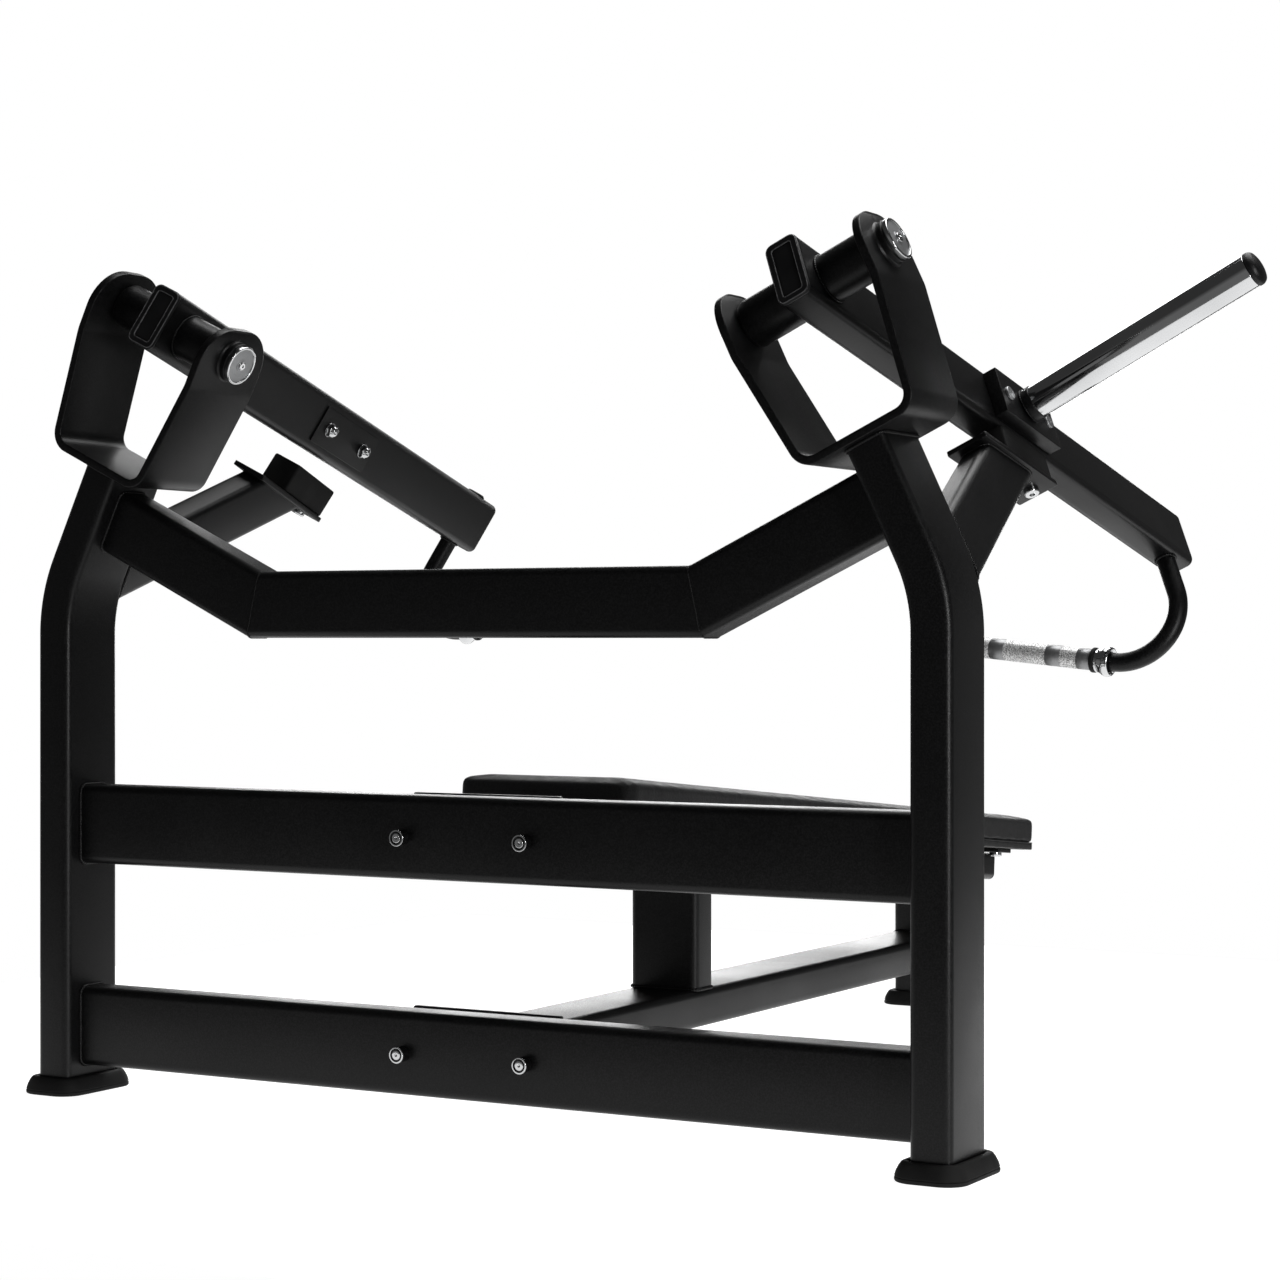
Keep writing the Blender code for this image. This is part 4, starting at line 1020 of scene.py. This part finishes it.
def inflate(obj, centre):
    """Fills the cover with a short cloth simulation, then keeps each point near where it began."""
    remesh = obj.modifiers.new("Remesh", "REMESH")
    remesh.mode = "VOXEL"
    remesh.voxel_size = COVER_VOXEL
    apply_modifiers(obj)
    start = [vertex.co.copy() for vertex in obj.data.vertices]
    pinned = obj.vertex_groups.new(name="stretched")
    inverse = centre.inverted()
    pinned.add([i for i, p in enumerate(start) if is_stretched(inverse @ p)], 1.0, "REPLACE")
    cloth = obj.modifiers.new("Cloth", "CLOTH")
    cloth.settings.use_pressure = True
    cloth.settings.uniform_pressure_force = FILL_PRESSURE
    cloth.settings.vertex_group_mass = "stretched"
    cloth.settings.effector_weights.gravity = 0.0
    cloth.point_cache.frame_start = 1
    cloth.point_cache.frame_end = FILL_FRAMES
    scene = bpy.context.scene
    for number in range(1, FILL_FRAMES + 1):
        scene.frame_set(number)
    apply_modifiers(obj)
    scene.frame_set(1)
    for vertex, before in zip(obj.data.vertices, start):
        move = vertex.co - before
        if move.length > PAD_SWELL:
            vertex.co = before + move.normalized() * PAD_SWELL


def apply_modifiers(obj):
    graph = bpy.context.evaluated_depsgraph_get()
    mesh = bpy.data.meshes.new_from_object(obj.evaluated_get(graph), depsgraph=graph)
    old = obj.data
    obj.modifiers.clear()
    obj.data = mesh
    bpy.data.meshes.remove(old)


def add_cushion(bench):
    cushion = stand_in("pad_cushion", cover_mesh(bench), LEATHER)
    inflate(cushion, bench.place)
    smooth = cushion.modifiers.new("Smooth", "SUBSURF")
    smooth.levels = 1
    smooth.render_levels = 1
    cushion.data.shade_smooth()


def add_board(bench):
    """Upholstered board under the cushion, its dust cover, and the seam above it."""
    wrap = (PAD_WIDTH - PAD_EASE, PAD_LENGTH - PAD_EASE, BOARD_THICKNESS)
    place = bench.along(PAD_LENGTH / 2, PAD_THICKNESS - BOARD_THICKNESS / 2)
    stand_in("pad_board", slab_mesh("pad_board", wrap, 0.021, 0.002, place, 8), LEATHER)
    panel = (PAD_WIDTH - 0.030, PAD_LENGTH - 0.030, 0.0006)
    under = bench.along(PAD_LENGTH / 2, PAD_THICKNESS + 0.0001)
    trim("pad_dust_cover", slab_mesh("dust", panel, 0.010, 0.0002, under), BOARD, "pad_board")
    radius = 0.0012
    size = (PAD_WIDTH - 2 * radius, PAD_LENGTH - 2 * radius)
    loop = flat_ring(*size, PAD_CORNER, 0.0005 - CUSHION_THICKNESS / 2, 8)
    seam = bead_mesh("seam", [bench.place @ p for p in loop], radius, None, 0.002, 0.05)
    trim("pad_seam", seam, LEATHER, "pad_cushion")


# Press arms ---------------------------------------------------------------------------------
def arm_ring(y, inset, corner):
    """Section of the arm, across its axis."""
    outline = rounded_rectangle(ARM_WIDTH - 2 * inset, ARM_HEIGHT - 2 * inset, corner)
    return [Vector((-p.x, y, p.y)) for p in outline]


def arm_rings():
    """Outer skin of the arm from its closed, rounded front, and the bore from the rear."""
    rings = []
    for step in range(6, -1, -1):
        angle = step * math.pi / 12
        y = ARM_FRONT - ARM_END_ROUNDING * (1 - math.sin(angle))
        inset = ARM_END_ROUNDING * (1 - math.cos(angle))
        rings.append(arm_ring(y, inset, TUBE_CORNER - inset * 0.9))
    rings.append(arm_ring(ARM_REAR + GAP, 0.0, TUBE_CORNER))
    for depth in (GAP, 0.030):
        rings.append(arm_ring(ARM_REAR + depth, 0.0045, 0.0078))
    return rings


def add_arm_tube(side):
    """The arm, its welded pivot tube, the backing pad behind the horn, and the rear plug."""
    node = f"arm_tube_{side.name}"
    stand_in(node, skin(arm_rings(), node, side.arm), POWDER_COAT)
    half = PIVOT_TUBE_HALF
    radius = PIVOT_TUBE_RADIUS
    place = side.arm @ side.outward
    section = ring_section(radius - 0.006, radius, -half, half)
    pivot = lathe("pivot", section, 0.001, place, 56, ring=True)
    trim(f"pivot_tube_{side.name}", pivot, POWDER_COAT, node)
    for label, sign in (("outer", 1), ("inner", -1)):
        loop = circle_loop(radius + 0.0004, at(0.0, 0.0, sign * (ARM_WIDTH / 2 + 0.0012)))
        weld(f"pivot_{label}_{side.name}", loop, 0.0018, node, place)
    inner = -side.sign * (ARM_WIDTH / 2 + BACKING_THICKNESS / 2 - 0.0002)
    size = (BRACKET_HEIGHT - 0.012, BRACKET_LENGTH + 0.020, BACKING_THICKNESS)
    place = side.arm @ at(inner, HORN_Y, 0.0) @ QUARTER_Y
    backing = slab_mesh("backing", size, 0.003, 0.0006, place)
    trim(f"backing_pad_{side.name}", backing, POWDER_COAT, node)
    rear = side.arm @ at(0.0, ARM_REAR, 0.0) @ QUARTER_X
    add_plug(f"arm_rear_plug_{side.name}", (ARM_WIDTH, ARM_HEIGHT), rear)


def add_bushes(side):
    """Plastic rings between the pivot tube and the yoke's cheeks."""
    start = PIVOT_TUBE_HALF + GAP
    section = ring_section(0.0155, PIVOT_TUBE_RADIUS - 0.003, start, PIVOT_TUBE_HALF + 0.0042)
    for label, turn in (("outer", side.outward), ("inner", side.inward)):
        node = f"pivot_bush_{side.name}_{label}"
        bush = lathe(node, section, 0.0008, side.arm @ turn, ring=True)
        stand_in(node, bush, PLASTIC)


def add_bracket(side):
    """Block that holds the horn, and the two bolts that clamp it through the arm."""
    middle = ARM_WIDTH / 2 + GAP + BRACKET_THICKNESS / 2
    place = side.arm @ at(side.sign * middle, HORN_Y, 0.0) @ QUARTER_Y
    size = (BRACKET_HEIGHT, BRACKET_LENGTH, BRACKET_THICKNESS)
    node = f"horn_bracket_{side.name}"
    stand_in(node, slab_mesh(node, size, 0.002, 0.0012, place), POWDER_COAT)
    face = ARM_WIDTH / 2 + 2 * GAP + BRACKET_THICKNESS
    grip = BRACKET_THICKNESS + ARM_WIDTH + BACKING_THICKNESS + 3 * GAP
    for label, step in (("rear", -0.5), ("front", 0.5)):
        y = HORN_Y + step * BRACKET_BOLT_SPACING
        place = side.arm @ at(side.sign * face, y, 0.0) @ side.outward
        bolt = f"horn_bolt_{side.name}_{label}"
        head = socket_head_mesh(bolt, BOLT_HEAD_RADIUS - 0.001, HORN_BOLT_HEAD_HEIGHT, place, 0.005)
        stand_in(bolt, head, STEEL)
        add_nut(bolt, place @ at(0.0, 0.0, -grip) @ TURN_OVER)


def add_horn(side):
    """Chrome horn in its socket, and its domed cap."""
    radius = HORN_RADIUS
    tilted = Matrix.Rotation(side.sign * (math.pi / 2 - HORN_TILT), 4, "Y")
    root = ARM_WIDTH / 2 + 2 * GAP + BRACKET_THICKNESS + radius * math.sin(HORN_TILT)
    place = side.arm @ at(side.sign * root, HORN_Y, 0.002) @ tilted
    section = ring_section(radius - 0.003, radius, HORN_LENGTH, 0.0)
    node = f"weight_horn_{side.name}"
    stand_in(node, lathe(node, section, 0.0015, place, 96, ring=True), CHROME)
    add_socket(side, place)
    rim = radius + 0.001
    dome = [(rim, 0.0004), (rim, 0.006), (rim - 0.0035, 0.0118), (rim * 0.5, 0.0150), (0.0, 0.016)]
    profile = [(rim - 0.0004, 0.0), *rounded_profile(dome, 0.004)]
    node = f"horn_cap_{side.name}"
    end = place @ at(0.0, 0.0, HORN_LENGTH + GAP)
    stand_in(node, turned_mesh(node, profile, end, 64), PLASTIC)


def add_socket(side, place):
    """Collar that the horn stands in, its weld to the bracket, and its set screw."""
    bracket = f"horn_bracket_{side.name}"
    outer = HORN_RADIUS + SOCKET_WALL
    inner = HORN_RADIUS + GAP
    section = ring_section(inner, outer, -0.001, SOCKET_LENGTH)
    collar = lathe("socket", section, 0.0012, place, 64, ring=True)
    trim(f"horn_socket_{side.name}", collar, POWDER_COAT, bracket)
    loop = circle_loop(outer + 0.0002, at(0.0, 0.0, 0.0006))
    weld(f"horn_{side.name}", loop, 0.0012, bracket, place)
    facing = Matrix.Rotation(-side.sign * math.radians(35.0), 4, "Z") @ QUARTER_X
    screw = place @ at(0.0, 0.0, SOCKET_LENGTH * 0.55) @ facing @ at(0.0, 0.0, outer - 0.0004)
    corners = [(0.0032, 0.0), (0.0032, 0.0012), (0.0018, 0.0012), (0.0018, 0.0004), (0.0, 0.0004)]
    trim(f"horn_set_screw_{side.name}", lathe("screw", corners, 0.0003, screw, 24), CHROME, bracket)


def grip_direction(side):
    """Direction of the grip in the arm's axes: inwards, a little back, and rising."""
    level = math.cos(GRIP_RISE)
    x = -side.sign * level * math.cos(GRIP_SWEEP)
    return Vector((x, -level * math.sin(GRIP_SWEEP), math.sin(GRIP_RISE)))


def handle_path(side):
    """Centre line in the arm's axes: down through the arm, round one bend, then straight."""
    top = Vector((0.0, HANDLE_Y, ARM_HEIGHT / 2 + HANDLE_LIP))
    corner = Vector((0.0, HANDLE_Y, -HANDLE_DROP))
    inward = grip_direction(side)
    down = Vector((0.0, 0.0, -1.0))
    bend = down.angle(inward)
    start = corner - down * HANDLE_BEND * math.tan(bend / 2)
    towards_centre = (inward - down * inward.dot(down)).normalized()
    centre = start + towards_centre * HANDLE_BEND
    arc = []
    for step in range(33):
        angle = bend * step / 32
        arc.append(centre + HANDLE_BEND * (down * math.sin(angle) - towards_centre * math.cos(angle)))
    return [top, *arc, corner + inward * (GRIP_START + GRIP_LENGTH)]


def add_handle(side):
    """Bent round tube, welded where it goes through the arm."""
    node = f"handle_tube_{side.name}"
    path = handle_path(side)
    across = (path[1] - path[0]).cross(path[-1] - path[-2]).normalized()
    circle = [Vector((p.x, p.y)) for p in circle_points(HANDLE_RADIUS, 0.0, 32)]
    rings = path_rings(path, across, lambda i: circle)
    stand_in(node, skin(rings, node, side.arm), POWDER_COAT)
    for label, z in (("under", -ARM_HEIGHT / 2 - 0.001), ("top", ARM_HEIGHT / 2 + 0.0005)):
        loop = circle_loop(HANDLE_RADIUS + 0.0006, at(0.0, HANDLE_Y, z))
        weld(f"handle_{label}_{side.name}", loop, 0.0022, node, side.arm)


def knurl_rings(start, end, radius, count, pitch):
    """Rings whose points stand out in turn, so that small pyramids cover the band."""
    rows = max(2, round((end - start) / pitch))
    rings = []
    for row in range(rows + 1):
        height = start + (end - start) * row / rows
        plain = row in (0, rows)
        ring = []
        for i in range(count):
            reach = radius if plain or (i + row) % 2 else radius + 0.00045
            angle = 2 * math.pi * i / count
            ring.append(Vector((reach * math.cos(angle), reach * math.sin(angle), height)))
        rings.append(ring)
    return rings


def add_collar(side, place, bore):
    """Flared chrome collar round the handle, and the rubber ring beside it."""
    corners = [(bore, 0.0), (0.0186, 0.0), (0.0186, -0.0055), (0.0208, -0.0100), (0.0238, -0.0150)]
    corners += [(0.0242, -0.0200), (0.0228, -0.0248), (0.0205, -COLLAR_LENGTH)]
    corners += [(0.0190, -0.0235), (bore, -0.0200)]
    node = f"grip_collar_{side.name}"
    stand_in(node, lathe(node, corners, 0.003, place, 64, ring=True, smooth=60.0), CHROME)
    section = ring_section(bore, 0.0200, GAP + O_RING_LENGTH, GAP)
    node = f"grip_ring_{side.name}"
    stand_in(node, lathe(node, section, 0.003, place, ring=True), RUBBER)


def add_grip(side):
    """Sleeve of plain and knurled bands, with its collar and ring."""
    corner = Vector((0.0, HANDLE_Y, -HANDLE_DROP))
    direction = grip_direction(side)
    place = side.arm @ Matrix.Translation(corner + direction * GRIP_START) @ tip_to(direction)
    bore = HANDLE_RADIUS + 0.0004
    add_collar(side, place, bore)
    low = O_RING_LENGTH + 2 * GAP
    end = GRIP_LENGTH + 0.006
    plain = GRIP_RADIUS
    groove = plain - 0.0006
    profile = [(bore, low), (plain - 0.0008, low), (plain, low + 0.0008)]
    start = low
    knurls = []
    for plain_length, knurled_length in GRIP_BANDS:
        start += plain_length
        stop = start + knurled_length
        knurls.append((start, stop))
        profile += [(plain, start - 0.0006), (groove, start)]
        profile += [(groove, stop), (plain, stop + 0.0006)]
        start = stop
    profile += [(plain, end - 0.004), (plain - 0.001, end - 0.0015), (plain - 0.004, end), (0.0, end)]
    node = f"grip_sleeve_{side.name}"
    stand_in(node, turned_mesh(node, profile, place, 64, smooth=50.0), SATIN)
    for number, (start, stop) in enumerate(knurls):
        rings = knurl_rings(start, stop, plain - 0.0003, 84, 0.0013)
        mesh = skin(rings, "knurl", place, smooth=12.0)
        trim(f"grip_knurl_{side.name}_{number}", mesh, KNURLED, node)


# Studio -------------------------------------------------------------------------------------
def add_floor():
    bm = bmesh.new()
    bmesh.ops.create_grid(bm, x_segments=8, y_segments=8, size=FLOOR_HALF)
    floor = add_object("floor", finish_mesh(bm, "floor"), studio_floor())


def add_softbox(name, location, target, size, power):
    data = bpy.data.lights.new(name, "AREA")
    data.shape = "RECTANGLE"
    data.size, data.size_y = size
    data.energy = power
    light = bpy.data.objects.new(name, data)
    light.location = location
    aim = Vector(target) - Vector(location)
    light.rotation_euler = aim.to_track_quat("-Z", "Y").to_euler()
    bpy.context.scene.collection.objects.link(light)


def add_world():
    """White behind the machine, and a dim room for what it reflects, brightest near the floor."""
    world = bpy.data.worlds.new("studio")
    world.use_nodes = True
    bpy.context.scene.world = world
    tree = world.node_tree
    background = tree.nodes["Background"]
    background.inputs["Color"].default_value = (1.0, 1.0, 1.0, 1.0)
    background.inputs["Strength"].default_value = 1.0
    coords = tree.nodes.new("ShaderNodeTexCoord")
    split = tree.nodes.new("ShaderNodeSeparateXYZ")
    height = tree.nodes.new("ShaderNodeMapRange")
    for name, value in (("From Min", 0.0), ("From Max", 0.35), ("To Min", 0.22), ("To Max", 0.06)):
        height.inputs[name].default_value = value
    room = tree.nodes.new("ShaderNodeBackground")
    path = tree.nodes.new("ShaderNodeLightPath")
    mix = tree.nodes.new("ShaderNodeMixShader")
    tree.links.new(coords.outputs["Generated"], split.inputs["Vector"])
    tree.links.new(split.outputs["Z"], height.inputs["Value"])
    tree.links.new(height.outputs["Result"], room.inputs["Strength"])
    tree.links.new(path.outputs["Is Camera Ray"], mix.inputs["Fac"])
    tree.links.new(room.outputs["Background"], mix.inputs[1])
    tree.links.new(background.outputs["Background"], mix.inputs[2])
    tree.links.new(mix.outputs["Shader"], tree.nodes["World Output"].inputs["Surface"])


def add_camera():
    data = bpy.data.cameras.new("camera")
    data.sensor_width = 36.0
    data.lens = 80.44
    data.shift_y = -0.0018
    data.clip_end = 200.0
    camera = bpy.data.objects.new("camera", data)
    camera.location = (2.2076, -4.2607, 0.6964)
    camera.rotation_euler = (math.pi / 2, 0.0, math.radians(29.56))
    bpy.context.scene.collection.objects.link(camera)
    bpy.context.scene.camera = camera


def add_studio():
    add_camera()
    add_world()
    add_floor()
    middle = (0.0, 0.0, 0.6)
    add_softbox("overhead", (0.6, 1.2, 5.0), middle, (4.0, 4.0), 240.0)
    add_softbox("edge", (4.6, -2.6, 1.2), middle, (0.45, 2.4), 110.0)
    add_softbox("behind", (-3.4, 6.5, 1.3), (-2.0, 0.0, 0.7), (5.0, 1.6), 130.0)
    add_softbox("high_behind", (-2.3, 4.4, 3.5), (-0.8, -0.8, 0.95), (3.0, 2.0), 60.0)
    bpy.context.scene.view_settings.view_transform = "Standard"


# Assembly -----------------------------------------------------------------------------------
def add_side(side):
    add_upright(side)
    add_foot(f"foot_{side.name}", UPRIGHT_WIDTH, UPRIGHT_DEPTH)
    add_yoke(side)
    add_axle(side)
    add_brace(side)
    add_stop(side)
    add_arm_tube(side)
    add_bushes(side)
    add_bracket(side)
    add_horn(side)
    add_handle(side)
    add_grip(side)


def build():
    sides = [Side(name, sign) for name, sign in SIDES]
    for side in sides:
        add_side(side)
    add_straight_beam("lower_crossbeam")
    add_straight_beam("middle_crossbeam")
    add_upper_beam(sides[1])
    add_beam_bolts()
    bench = Bench()
    for add in (add_spine, add_flanges, add_posts, add_rail, add_pad_bolts):
        add(bench)
    add_foot("foot_front", 2 * UPRIGHT_WIDTH, BEAM_DEPTH)
    add_cushion(bench)
    add_board(bench)
    add_studio()


build()
